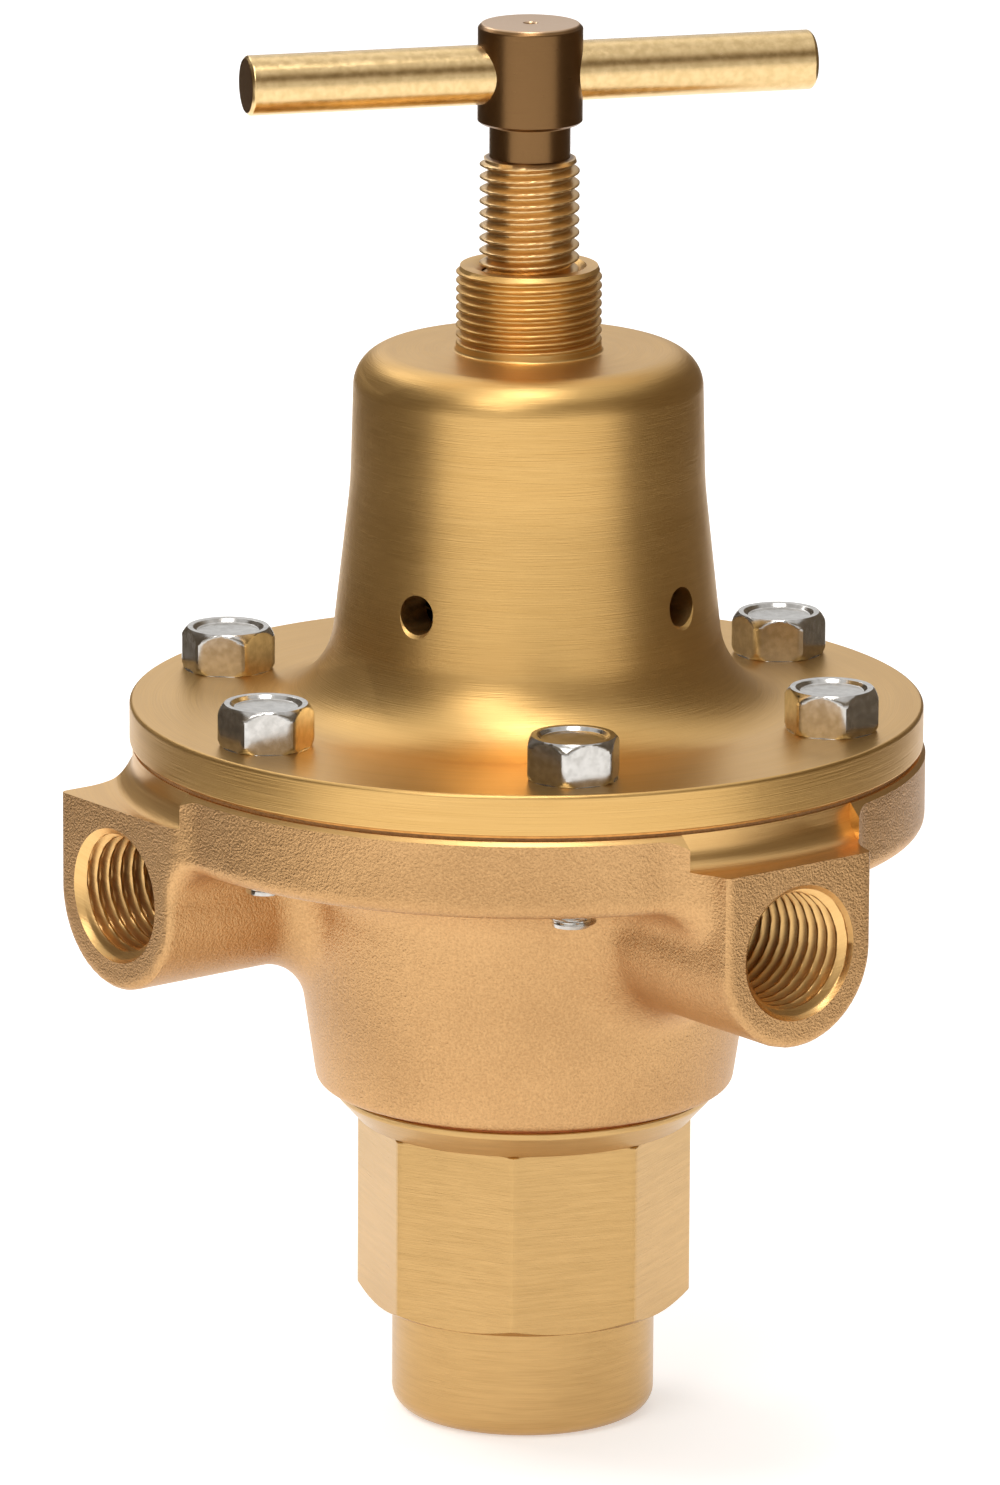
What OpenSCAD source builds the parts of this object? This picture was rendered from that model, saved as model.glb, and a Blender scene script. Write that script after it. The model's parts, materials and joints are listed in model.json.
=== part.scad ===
// Pressure reducing valve in brass: a diaphragm is clamped between a cast body and a turned bonnet,
// a tee-handled screw loads a range spring on it, and it pushes a spring-closed poppet off its seat.
// Z is the valve axis, the origin is the centre of the bottom cap's end. The inlet faces +X, the outlet -Y.

/* [Bottom cap] */
// Diameter of the plain round end
cap_end_d = 26.7; // [24:0.1:29]
// Height of the plain round end
cap_end_h = 11.7; // [9:0.1:18]
// Distance across the eight wrench flats
cap_flats_w = 31.4; // [30:0.1:34]
// Height of the wrench flats
cap_flats_h = 20.7; // [15:0.1:26]
// Turn of the wrench flats about the axis, in degrees
cap_turn = 3.4; // [0:0.1:45]
// Diameter of the collar that seats below the body
cap_collar_d = 38.4; // [37:0.1:40.4]
// Height of the collar
cap_collar_h = 1.6; // [1.2:0.1:4]
// Width of the collar's seat round the thread
cap_ledge_w = 3.7; // [3.3:0.1:5]
// Length of the cap's thread
cap_thread_l = 9.5; // [7.5:0.5:12]
// Diameter of the cavity bored into the cap
cap_bore_d = 19; // [17:0.5:20]
// Thickness of the floor under that cavity
cap_floor_t = 7; // [6:0.5:9]
// Thickness of the seal ring between cap and body
cap_seal_t = 0.6; // [0.4:0.1:1.5]

/* [Body] */
// Height from the bottom face to the flange's top
body_h = 34.9; // [33.5:0.1:42]
// Diameter of the barrel at its bottom
barrel_d = 42.2; // [40.2:0.2:46]
// Diameter of the barrel where it meets the flange fillet
barrel_top_d = 50.2; // [48:0.2:52]
// Radius of the barrel's bottom edge
barrel_edge_r = 0.8; // [0.4:0.1:3]
// Thickness of the body flange
body_flange_t = 8; // [7:0.1:9]
// How far the cast rim stands out past the bonnet flange
rim_proud = 0.25; // [0.1:0.05:0.8]
// Radius of the fillet between barrel and flange
flange_fillet_r = 6.5; // [3:0.5:7]
// Diameter of the diaphragm chamber
chamber_d = 54; // [52:0.5:56]
// Depth of the diaphragm chamber
chamber_depth = 6; // [5.5:0.1:7]
// Thickness of the web that holds the seat
web_t = 3.5; // [2.5:0.1:5]
// Diameter of the inlet chamber round the poppet
inlet_chamber_d = 19; // [17:0.5:20]

/* [Ports] */
// Diameter of the tapped bore at the thread's crests
port_bore_d = 11.4; // [9:0.1:12.5]
// Diameter of the countersunk mouth
port_mouth_d = 13.7; // [13:0.1:16]
// Depth of the tapped bore
port_depth = 14; // [11:0.5:15]
// Height of both port axes above the body's bottom face
port_h = 22.4; // [20.4:0.1:23.4]
// Diameter of the drilled passages behind the ports
passage_d = 5.6; // [4:0.1:5.8]
// Half width of a boss, and the radius of its round underside
boss_r = 9.2; // [8.5:0.1:10]
// How far the round underside is centred below the port axis
boss_drop = 0.45; // [0:0.05:1]
// Height of the milled boss tops above the port axes
boss_top_h = 8.9; // [8:0.1:9.4]
// Radius of the cast fillet at a boss's root
boss_fillet_r = 4; // [2:0.5:6]
// Distance of the inlet face from the valve axis
inlet_reach = 43.7; // [42.5:0.1:50]
// Distance of the outlet face from the valve axis
outlet_reach = 41; // [40:0.1:48]
// Sideways offset of the outlet axis, which takes it between two screws
outlet_offset = 14.3; // [12:0.1:16]
// Distance of the outlet riser from the valve axis, along the outlet
riser_reach = 18; // [16:0.5:19]

/* [Bonnet] */
// Diameter of the bonnet flange
flange_d = 80; // [77:0.5:86]
// Thickness of the bonnet flange
bonnet_flange_t = 4.1; // [3.5:0.1:6]
// Height of the bell above the flange
bell_h = 35.9; // [34.4:0.1:44]
// Diameter of the bell where it meets the flange plane
bell_base_d = 40.6; // [39:0.2:43]
// Diameter of the bell's waist
bell_waist_d = 35.6; // [34.5:0.1:37]
// Height of the waist above the flange
bell_waist_h = 22.3; // [18:0.1:26]
// Radius of the sweep through the waist
bell_waist_r = 40; // [20:1:60]
// Diameter of the bell's shoulder
bell_top_d = 34.9; // [34:0.1:36]
// Radius of the fillet between bell and flange
bell_fillet_r = 8.5; // [4:0.5:9]
// Radius of the bell's shoulder
bell_shoulder_r = 3.7; // [1.5:0.1:4.5]
// Thickness of the bell's wall
bell_wall = 2.8; // [2.2:0.1:3.2]
// Thickness of the bell's roof
bell_roof_t = 2.9; // [2.2:0.1:3.6]
// Diameter of the threaded neck
neck_d = 14.6; // [13.5:0.1:18]
// Height of the threaded neck
neck_h = 8.6; // [5:0.1:12]
// Diameter of the vent holes
vent_d = 4; // [2.5:0.1:4.6]
// Height of the vent holes above the flange
vent_h = 12.1; // [11:0.1:18]
// Direction of the first vent hole, in degrees from the outlet towards the inlet
vent_turn = 16.4; // [0:0.1:90]

/* [Flange screws] */
// Number of screws
screw_count = 6; // [3:3:6]
// Diameter of the circle through the screws
bolt_circle_d = 65.5; // [64.5:0.1:68]
// Thread diameter
screw_d = 4.83; // [4:0.01:5]
// Length under the head
screw_l = 15; // [14:0.5:19]
// Width across the head's flats
screw_head_w = 7.94; // [7:0.01:8.5]
// Height of the head
screw_head_h = 4.3; // [3:0.1:5]

/* [Diaphragm] */
// Diameter of the diaphragm
diaphragm_d = 79; // [74:0.1:79.4]
// Thickness of the diaphragm
diaphragm_t = 0.3; // [0.2:0.05:0.6]
// Thickness of the gasket below it
gasket_t = 0.3; // [0.2:0.05:0.8]
// Depth of the annular convolution
convolution_depth = 1; // [0.4:0.1:1.4]
// Diameter of the spring plate on top
plate_d = 37; // [30:0.5:38]
// Thickness of the spring plate
plate_t = 1.8; // [1.5:0.1:2.2]
// Diameter of the washer below
washer_d = 24; // [18:0.5:30]
// Thickness of the washer
washer_t = 1.2; // [0.8:0.1:1.3]
// Diameter of the pusher's shank
pusher_d = 4; // [3:0.1:5]
// Width across the flats of the nut on the pusher
pusher_nut_w = 7; // [6:0.1:9]
// Height of the nut on the pusher
pusher_nut_h = 2.8; // [2:0.1:4]

/* [Seat and poppet] */
// Thread diameter of the seat nozzle
nozzle_d = 11; // [10:0.1:12]
// Bore of the seat nozzle
nozzle_bore_d = 6.4; // [6.2:0.1:7]
// Diameter of the sealing lip
lip_d = 8; // [7.6:0.1:8.6]
// How far the lip stands below the web
lip_drop = 1.1; // [0.8:0.1:2]
// Width across the flats of the nozzle's head
nozzle_head_w = 14; // [13:0.1:16]
// Thickness of the nozzle's head
nozzle_head_t = 2; // [1.5:0.1:2.2]
// Thickness of the washer below that head
nozzle_gasket_t = 0.5; // [0.3:0.1:0.8]
// Diameter of the poppet's head
poppet_d = 11.2; // [10.4:0.1:13]
// Height of the poppet's head
poppet_h = 4; // [3:0.1:6]
// Diameter of the soft seat disc
disc_d = 9.6; // [9.2:0.1:9.8]
// Thickness of the soft seat disc
disc_t = 1.9; // [1.2:0.1:2.5]
// Diameter of the pin that reaches up through the nozzle
stem_d = 3; // [2:0.1:3.4]
// Diameter of the guided tail below the poppet
tail_d = 4; // [3:0.1:5]
// Width across the flats of the nut that holds the disc
disc_nut_w = 5; // [4.6:0.1:5.2]
// Height of the nut that holds the disc
disc_nut_h = 1.7; // [1:0.1:2.5]
// Lift of the poppet between shut and fully open
poppet_lift = 1.5; // [0.5:0.1:1.8]

/* [Guide bush] */
// Diameter of the bush pressed into the cap's floor
bush_d = 9; // [7.5:0.1:10]
// Diameter of the flange that carries the poppet spring
bush_flange_d = 16; // [13:0.1:16.8]
// Thickness of that flange
bush_flange_t = 2; // [1:0.1:3]
// Height of the guide tower above the flange
bush_tower_h = 7; // [4:0.5:12]

/* [Springs] */
// Wire diameter of the range spring
range_wire_d = 2.8; // [2:0.1:3]
// Mean coil diameter of the range spring
range_coil_d = 22.8; // [22:0.1:24]
// Number of coils of the range spring
range_turns = 6.5; // [5:0.5:7]
// Wire diameter of the poppet spring
poppet_wire_d = 1; // [0.6:0.1:1.2]
// Mean coil diameter of the poppet spring
poppet_coil_d = 9.2; // [8.4:0.1:9.8]
// Number of coils of the poppet spring
poppet_turns = 11; // [8:0.5:16]

/* [Adjusting screw and handle] */
// Diameter of the adjusting screw
spindle_d = 10; // [9:0.1:11]
// Length of thread that shows above the neck
spindle_out = 10.9; // [10.9:0.1:20]
// How far the thread reaches below the bell's roof
spindle_drop = 1.5; // [1.2:0.1:3]
// Diameter of the undercut below the head
undercut_d = 8.1; // [7:0.1:9]
// Height of the undercut
undercut_h = 3.6; // [2:0.1:8]
// Diameter of the round head
head_d = 10.5; // [9.5:0.1:14]
// Height of the round head
head_h = 10; // [8:0.1:14]
// Diameter of the tee bar
bar_d = 6; // [4:0.1:7]
// Length of the tee bar
bar_l = 58.4; // [40:0.1:90]
// Direction of the tee bar, in degrees from +X
bar_turn = 67.7; // [0:0.1:180]
// Diameter of the spring button
button_d = 26; // [24:0.1:27]
// Thickness of the spring button
button_t = 3; // [2.5:0.1:4]
// Diameter of the screw's pressure tip
tip_d = 6.4; // [4:0.1:7]

/* [Clearances] */
// Radial gap in the plain stand-ins for screwed joints
thread_gap = 0.05; // [0.02:0.01:0.2]
// Radial gap of the guided tail in its bush
guide_gap = 0.05; // [0.02:0.01:0.09]
// Radial gap round the flange screws in the bonnet
screw_hole_gap = 0.25; // [0.1:0.05:0.5]
// Gap between faces that only touch under load
touch_gap = 0.04; // [0.02:0.01:0.2]

/* [Hidden] */
$fn = 64;

// Cut tools reach this far past the faces they open
past = 1;
// The round land on a hex head stands this far inside its flats, and its rim is this wide
head_seat_in = 0.1;
head_rim_w = 0.7;
// Small edge breaks on turned pieces
edge_break = 0.4;
small_break = 0.25;

// The cap's thread stands inside the collar's seat, and the seal ring lies on that seat
cap_thread_d = cap_collar_d - 2 * cap_ledge_w;
seal_side_gap = 0.2;
seal_set_back = 0.8;

// Levels along the axis, from the bottom up
cap_flats_z = cap_end_h;
cap_collar_z = cap_flats_z + cap_flats_h;
cap_seat_z = cap_collar_z + cap_collar_h;
body_z = cap_seat_z + cap_seal_t;
body_top = body_z + body_h;
bonnet_z = body_top + gasket_t + diaphragm_t;
flange_top = bonnet_z + bonnet_flange_t;
bell_top = flange_top + bell_h;
neck_top = bell_top + neck_h;
undercut_z = neck_top + spindle_out;
head_z = undercut_z + undercut_h;
head_top = head_z + head_h;
bar_z = head_z + head_h / 2;

// Body
barrel_r = barrel_d / 2;
barrel_top_r = barrel_top_d / 2;
flange_r = flange_d / 2;
rim_r = flange_r + rim_proud;
rim_edge_r = 1.5;
rim_chamfer = 0.4;
underside_z = body_top - body_flange_t;
cap_bore_z = cap_floor_t;
cap_end_r = 2.2;
collar_edge_r = 0.4;
// Turned chamfers cut the flats' corners by these heights at their lower and upper ends
flats_chamfer_angle = 30;
flats_end_drop = 0.85;
flats_top_drop = 1.75;
cap_corner_r = cap_flats_w / 2 / cos(180 / 8);
chamber_z = body_top - chamber_depth;
roof_z = chamber_z - web_t;
body_thread_r = cap_thread_d / 2 + thread_gap;
body_thread_top = cap_seat_z + cap_thread_l + past;
port_z = body_z + port_h;
boss_z = port_z - boss_drop;
boss_top_z = port_z + boss_top_h;
// The rim is milled back to this radius above each boss, with a fillet at the foot of the cut
rim_cut_set_back = 0.3;
rim_cut_r = flange_r - rim_cut_set_back;
rim_cut_fillet_r = 2.2;
rim_cut_side = 1.5;
rim_cut_half_w = boss_r + rim_cut_side;
mouth_taper = (port_mouth_d - port_bore_d) / 2;
riser_extra = 0.8;
riser_d = passage_d + riser_extra;

// Diaphragm stack, from the diaphragm outwards
diaphragm_z = body_top + gasket_t;
plate_z = diaphragm_z + diaphragm_t;
plate_top = plate_z + plate_t;
plate_boss_h = 1.5;
washer_z = diaphragm_z - washer_t;
pusher_foot_h = 2;
pusher_foot_gap = 0.6;
pusher_foot_d = nozzle_bore_d - 2 * pusher_foot_gap;
pusher_z = washer_z - pusher_foot_h;
nut_z = plate_top + plate_boss_h;
pusher_end = 0.6;
pusher_top = nut_z + pusher_nut_h + pusher_end;
centre_hole_r = pusher_d / 2 + thread_gap;
// Bosses that centre the range spring stand inside its coils, and narrow towards their ends
spring_boss_gap = 0.5;
spring_boss_taper = 0.6;
spring_boss_r = (range_coil_d - range_wire_d) / 2 - spring_boss_gap;
convolution_margin = 0.5;
convolution_r0 = plate_d / 2 + convolution_margin;
convolution_r1 = chamber_d / 2 - convolution_margin;

// Bonnet inside
bell_bore_r = bell_top_d / 2 - bell_wall;
bell_roof_z = bell_top - bell_roof_t;
plate_room_gap = 2;
plate_room_r = plate_d / 2 + plate_room_gap;
plate_room_h = plate_t + plate_boss_h;
roof_corner_r = 2;
spindle_r = spindle_d / 2;
spindle_z = bell_roof_z - spindle_drop;

// Spring button hangs on the screw's tip
tip_h = 3;
tip_gap = 0.5;
button_dimple = 1.2;
tip_z = spindle_z - tip_h;
button_top = tip_z - touch_gap + button_dimple;
button_z = button_top - button_t;
button_boss_h = 2.5;

// Seat and poppet, from the lip down
lip_z = roof_z - lip_drop;
nozzle_gasket_z = chamber_z;
nozzle_head_z = nozzle_gasket_z + nozzle_gasket_t;
disc_top = lip_z - touch_gap;
disc_z = disc_top - disc_t;
poppet_z = disc_z - poppet_h;
poppet_rim_h = 1;
stem_top = pusher_z - touch_gap;
stem_hole_r = stem_d / 2 + thread_gap;
bush_flange_z = cap_bore_z;
bush_press_l = 3;
bush_bottom = bush_flange_z - bush_press_l;
tail_room = 0.5;
tail_z = bush_bottom + poppet_lift + tail_room;
spring_seat_z = bush_flange_z + bush_flange_t;
bush_tower_gap = 0.6;
bush_tower_d = poppet_coil_d - poppet_wire_d - 2 * bush_tower_gap;

function unit(v) = v / norm(v);
function xy(p) = [p[0], p[1]];
function at(pts, i) = xy(pts[(i + len(pts)) % len(pts)]);
// Positive where an anticlockwise outline turns outwards at corner i
function turn_at(pts, i) = cross(at(pts, i) - at(pts, i - 1), at(pts, i + 1) - at(pts, i));
function to_previous(pts, i) = unit(at(pts, i - 1) - at(pts, i));
function to_next(pts, i) = unit(at(pts, i + 1) - at(pts, i));
function half_angle(pts, i) = acos(to_previous(pts, i) * to_next(pts, i)) / 2;
function tangent_in(pts, i) = at(pts, i) + to_previous(pts, i) * pts[i][2] / tan(half_angle(pts, i));
function tangent_out(pts, i) = at(pts, i) + to_next(pts, i) * pts[i][2] / tan(half_angle(pts, i));
function arc_centre(pts, i) =
    at(pts, i) + unit(to_previous(pts, i) + to_next(pts, i)) * pts[i][2] / sin(half_angle(pts, i));
function is_round(p) = len(p) == 3;

// The sliver between the chord and the arc of one rounded corner
module corner_lens(pts, i) {
    intersection() {
        polygon([tangent_in(pts, i), at(pts, i), tangent_out(pts, i)]);
        translate(arc_centre(pts, i)) circle(pts[i][2]);
    }
}

// Anticlockwise outline of [x, y] corners, or [x, y, radius] where a true arc rounds the corner
module rounded_outline(pts) {
    rounds = [for (i = [0:len(pts) - 1]) if (is_round(pts[i])) i];
    chords = [
        for (i = [0:len(pts) - 1])
            each is_round(pts[i]) ? [tangent_in(pts, i), tangent_out(pts, i)] : [at(pts, i)]
    ];
    difference() {
        union() {
            polygon(chords);
            for (i = rounds) if (turn_at(pts, i) > 0) corner_lens(pts, i);
        }
        for (i = rounds) if (turn_at(pts, i) < 0) corner_lens(pts, i);
    }
}

// A solid of revolution about the valve axis from a rounded outline
module turned(pts) {
    rotate_extrude() rounded_outline(pts);
}

module drill(d, z0, z1) {
    translate([0, 0, z0]) cylinder(d = d, h = z1 - z0);
}

module ring(d_out, d_in, z, h) {
    translate([0, 0, z]) difference() {
        cylinder(d = d_out, h = h);
        translate([0, 0, -past]) cylinder(d = d_in, h = h + 2 * past);
    }
}

module hex_prism(w, z, h) {
    translate([0, 0, z]) cylinder(d = w / cos(30), h = h, $fn = 6);
}

// Places children at each flange screw, counted from the outlet's direction
module at_screws() {
    for (i = [0:screw_count - 1])
        rotate([0, 0, 360 / screw_count * i - 90]) translate([bolt_circle_d / 2, 0, 0]) children();
}

// Coil springs: a wire of six or eight sides carried along a helix whose end turns lie closed
function coil_height(u, turns, rise, wire_d) =
    let (dead = 1.04 * wire_d)
    u < 1 ? dead * u
    : u > turns - 1 ? rise - dead * (turns - u)
    : dead + (rise - 2 * dead) * (u - 1) / (turns - 2);

module coil_spring(coil_d, wire_d, turns, z0, z1, sides, steps) {
    count = round(turns * steps);
    rise = z1 - z0 - wire_d;
    rings = [
        for (i = [0:count])
            let (u = i / steps, z = z0 + wire_d / 2 + coil_height(u, turns, rise, wire_d))
            for (k = [0:sides - 1])
                let (a = 360 / sides * k, r = coil_d / 2 + wire_d / 2 * cos(a))
                [r * cos(360 * u), r * sin(360 * u), z + wire_d / 2 * sin(a)]
    ];
    walls = [
        for (i = [0:count - 1], k = [0:sides - 1])
            let (a = i * sides + k, b = i * sides + (k + 1) % sides)
            each [[a, a + sides, b + sides], [a, b + sides, b]]
    ];
    first_end = [for (k = [0:sides - 1]) k];
    last_end = [for (k = [sides - 1:-1:0]) count * sides + k];
    polyhedron(rings, concat(walls, [first_end, last_end]));
}

// Pipe bosses: a section with a round underside and upright sides runs out from the axis to the port face
module boss(reach) {
    rotate([90, 0, 90]) linear_extrude(reach) translate([0, boss_z]) {
        circle(boss_r);
        translate([-boss_r, 0]) square([2 * boss_r, body_top - past - boss_z]);
    }
}

// The cast fillet round a boss's root follows a ball rolled round the corner between boss and barrel.
// It starts a little inside both, and offset is how far the port axis stands aside of the valve axis.
root_columns = 18;
root_steps = 7;
root_sink = 0.2;
root_depth = 1.5;

function barrel_r_at(z) = barrel_r + (barrel_top_r - barrel_r) * (z - body_z) / (underside_z - body_z);

// One column of the fillet: h is the height its direction n starts from, lateral and upright
function root_column(h, n, offset) =
    let (
        w = boss_r - root_sink + boss_fillet_r,
        z = h + w * n[1],
        r = barrel_r_at(min(z, underside_z)) - root_sink + boss_fillet_r,
        aside = w * n[0] - offset,
        ball = [sqrt(r * r - aside * aside), w * n[0], z],
        to_boss = [0, -n[0], -n[1]],
        to_barrel = [-ball[0], -aside, 0] / r,
        inwards = (to_boss + to_barrel) / (1 + to_boss * to_barrel)
    )
    [
        ball + (boss_fillet_r + root_depth) * inwards,
        for (j = [0:root_steps])
            ball + boss_fillet_r * unit(to_boss * (root_steps - j) + to_barrel * j)
    ];

module boss_root(offset) {
    top = underside_z + past;
    columns = [
        root_column(top, [-1, 0], offset),
        for (k = [0:root_columns])
            let (a = 180 + 180 * k / root_columns)
            root_column(boss_z, [cos(a), sin(a)], offset),
        root_column(top, [1, 0], offset)
    ];
    n = root_steps + 2;
    last = len(columns) - 1;
    walls = [
        for (j = [0:last - 1], k = [0:n - 1])
            let (a = j * n + k, b = j * n + (k + 1) % n)
            each [[a, b + n, b], [a, a + n, b + n]]
    ];
    first_end = [for (k = [0:n - 1]) k];
    last_end = [for (k = [n:-1:1]) last * n + k % n];
    polyhedron([for (c = columns) each c], concat(walls, [first_end, last_end]));
}

// Places a port's own frame: its axis along +X, offset sideways for the outlet
module at_inlet() {
    children();
}

module at_outlet() {
    translate([-outlet_offset, 0, 0]) rotate([0, 0, -90]) children();
}

// Tapped bore, countersunk mouth and drilled passage of a port, from its face inwards
module port_bore(reach, passage_end) {
    translate([0, 0, port_z]) rotate([0, 90, 0]) {
        drill(port_bore_d, reach - port_depth, reach + past);
        drill(passage_d, passage_end, reach);
        translate([0, 0, reach - mouth_taper])
            cylinder(d1 = port_bore_d, d2 = port_mouth_d, h = mouth_taper);
        drill(port_mouth_d, reach, reach + past);
    }
}

// The milled step over the bosses: the rim is cut back and a fillet runs down to a boss's flat top
module rim_cut() {
    outside = rim_r + past + inlet_reach + outlet_reach;
    turned([
        [rim_cut_r, boss_top_z, rim_cut_fillet_r],
        [outside, boss_top_z],
        [outside, body_top + past],
        [rim_cut_r, body_top + past]
    ]);
}

module rim_window(reach) {
    translate([0, -rim_cut_half_w, boss_top_z - past])
        cube([reach + past, 2 * rim_cut_half_w, body_top - boss_top_z + 3 * past]);
}

module body() {
    color("#d9ac6b") difference() {
        union() {
            turned([
                [0, body_z],
                [barrel_r, body_z, barrel_edge_r],
                [barrel_top_r, underside_z, flange_fillet_r],
                [rim_r, underside_z, rim_edge_r],
                [rim_r, body_top - rim_chamfer],
                [rim_r - rim_chamfer, body_top],
                [0, body_top]
            ]);
            at_inlet() boss(inlet_reach);
            at_inlet() boss_root(0);
            at_outlet() boss(outlet_reach);
            at_outlet() boss_root(outlet_offset);
        }
        intersection() {
            rim_cut();
            at_inlet() rim_window(inlet_reach);
        }
        intersection() {
            rim_cut();
            at_outlet() rim_window(outlet_reach);
        }
        at_inlet() port_bore(inlet_reach, 0);
        at_outlet() port_bore(outlet_reach, riser_reach);
        at_outlet() translate([riser_reach, 0, 0]) drill(riser_d, port_z - riser_d / 2, body_top);
        drill(chamber_d, chamber_z, body_top + past);
        drill(nozzle_d + 2 * thread_gap, roof_z - past, body_top);
        drill(inlet_chamber_d, body_z, roof_z);
        drill(2 * body_thread_r, body_z - past, body_thread_top);
        at_screws() drill(screw_d + 2 * thread_gap, underside_z - flange_fillet_r, body_top + past);
    }
}

module bottom_cap() {
    slope = tan(flats_chamfer_angle);
    color("#cfa257") difference() {
        union() {
            turned([
                [0, 0],
                [cap_end_d / 2, 0, cap_end_r],
                [cap_end_d / 2, cap_flats_z + past],
                [0, cap_flats_z + past]
            ]);
            intersection() {
                rotate([0, 0, cap_turn]) translate([0, 0, cap_flats_z])
                    cylinder(r = cap_corner_r, h = cap_flats_h, $fn = 8);
                turned([
                    [0, cap_flats_z],
                    [cap_corner_r - flats_end_drop / slope, cap_flats_z],
                    [cap_corner_r + past, cap_flats_z + flats_end_drop + past * slope],
                    [cap_corner_r + past, cap_collar_z - flats_top_drop - past * slope],
                    [cap_corner_r - flats_top_drop / slope, cap_collar_z],
                    [0, cap_collar_z]
                ]);
            }
            turned([
                [0, cap_collar_z],
                [cap_collar_d / 2, cap_collar_z, collar_edge_r],
                [cap_collar_d / 2, cap_seat_z],
                [cap_thread_d / 2, cap_seat_z],
                [cap_thread_d / 2, cap_seat_z + cap_thread_l - edge_break],
                [cap_thread_d / 2 - edge_break, cap_seat_z + cap_thread_l],
                [0, cap_seat_z + cap_thread_l]
            ]);
        }
        drill(cap_bore_d, cap_bore_z, cap_seat_z + cap_thread_l + past);
        drill(bush_d, bush_bottom - small_break, cap_bore_z + past);
    }
}

module cap_seal() {
    color("#b8682e") ring(
        cap_collar_d - 2 * seal_set_back, cap_thread_d + 2 * seal_side_gap, cap_seat_z, cap_seal_t
    );
}

module poppet_guide() {
    color("#c79a4d") difference() {
        turned([
            [0, bush_bottom],
            [bush_d / 2, bush_bottom],
            [bush_d / 2, bush_flange_z],
            [bush_flange_d / 2, bush_flange_z],
            [bush_flange_d / 2, spring_seat_z],
            [bush_tower_d / 2, spring_seat_z],
            [bush_tower_d / 2, spring_seat_z + bush_tower_h, edge_break],
            [0, spring_seat_z + bush_tower_h]
        ]);
        drill(tail_d + 2 * guide_gap, bush_bottom - past, spring_seat_z + bush_tower_h + past);
    }
}

module poppet_spring() {
    color("silver")
        coil_spring(poppet_coil_d, poppet_wire_d, poppet_turns, spring_seat_z, poppet_z, 6, 16);
}

module poppet() {
    color("#c79a4d") turned([
        [0, tail_z],
        [tail_d / 2 - edge_break, tail_z],
        [tail_d / 2, tail_z + edge_break],
        [tail_d / 2, poppet_z],
        [poppet_d / 2, poppet_z],
        [poppet_d / 2, disc_z + poppet_rim_h],
        [disc_d / 2 + thread_gap, disc_z + poppet_rim_h],
        [disc_d / 2 + thread_gap, disc_z],
        [stem_d / 2, disc_z],
        [stem_d / 2, stem_top, edge_break],
        [0, stem_top]
    ]);
}

module seat_disc() {
    color("ivory") ring(disc_d, 2 * stem_hole_r, disc_z, disc_t);
}

module disc_retainer() {
    color("silver") difference() {
        hex_prism(disc_nut_w, disc_top, disc_nut_h);
        drill(2 * stem_hole_r, disc_top - past, disc_top + disc_nut_h + past);
    }
}

module seat_nozzle() {
    color("#c79a4d") difference() {
        union() {
            turned([
                [0, lip_z],
                [lip_d / 2, lip_z],
                [nozzle_d / 2, roof_z],
                [nozzle_d / 2, nozzle_head_z + past],
                [0, nozzle_head_z + past]
            ]);
            hex_prism(nozzle_head_w, nozzle_head_z, nozzle_head_t);
        }
        drill(nozzle_bore_d, lip_z - past, nozzle_head_z + nozzle_head_t + past);
    }
}

module nozzle_gasket() {
    color("#b8682e") ring(nozzle_head_w, nozzle_d + 2 * seal_side_gap, nozzle_gasket_z, nozzle_gasket_t);
}

module diaphragm_gasket() {
    color("dimgray") difference() {
        ring(diaphragm_d, chamber_d, body_top, gasket_t);
        at_screws() drill(screw_d + 2 * screw_hole_gap, body_top - past, body_top + gasket_t + past);
    }
}

// Thin disc with one annular convolution, given as a half-sine in section
convolution_steps = 16;
function convolution_dip(k) = convolution_depth * sin(180 * k / convolution_steps);
function convolution_r(k) = convolution_r0 + (convolution_r1 - convolution_r0) * k / convolution_steps;

module diaphragm() {
    lower = [for (k = [0:convolution_steps]) [convolution_r(k), diaphragm_z - convolution_dip(k)]];
    upper = [for (k = [convolution_steps:-1:0]) [convolution_r(k), plate_z - convolution_dip(k)]];
    color("#a8602c") difference() {
        rotate_extrude() polygon(concat(
            [[centre_hole_r, diaphragm_z]],
            lower,
            [[diaphragm_d / 2, diaphragm_z], [diaphragm_d / 2, plate_z]],
            upper,
            [[centre_hole_r, plate_z]]
        ));
        at_screws() drill(screw_d + 2 * screw_hole_gap, body_top, bonnet_z + past);
    }
}

module diaphragm_washer() {
    color("silver") difference() {
        turned([
            [0, washer_z],
            [washer_d / 2, washer_z, edge_break],
            [washer_d / 2, diaphragm_z],
            [0, diaphragm_z]
        ]);
        drill(2 * centre_hole_r, washer_z - past, diaphragm_z + past);
    }
}

module pusher() {
    color("#c79a4d") turned([
        [0, pusher_z],
        [pusher_foot_d / 2, pusher_z, edge_break],
        [pusher_foot_d / 2, washer_z],
        [pusher_d / 2, washer_z],
        [pusher_d / 2, pusher_top - edge_break],
        [pusher_d / 2 - edge_break, pusher_top],
        [0, pusher_top]
    ]);
}

module diaphragm_plate() {
    color("silver") difference() {
        turned([
            [0, plate_z],
            [plate_d / 2, plate_z, edge_break],
            [plate_d / 2, plate_top, edge_break],
            [spring_boss_r, plate_top],
            [spring_boss_r - spring_boss_taper, nut_z],
            [0, nut_z]
        ]);
        drill(2 * centre_hole_r, plate_z - past, nut_z + past);
    }
}

module diaphragm_nut() {
    color("silver") difference() {
        hex_prism(pusher_nut_w, nut_z, pusher_nut_h);
        drill(2 * centre_hole_r, nut_z - past, nut_z + pusher_nut_h + past);
    }
}

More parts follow.
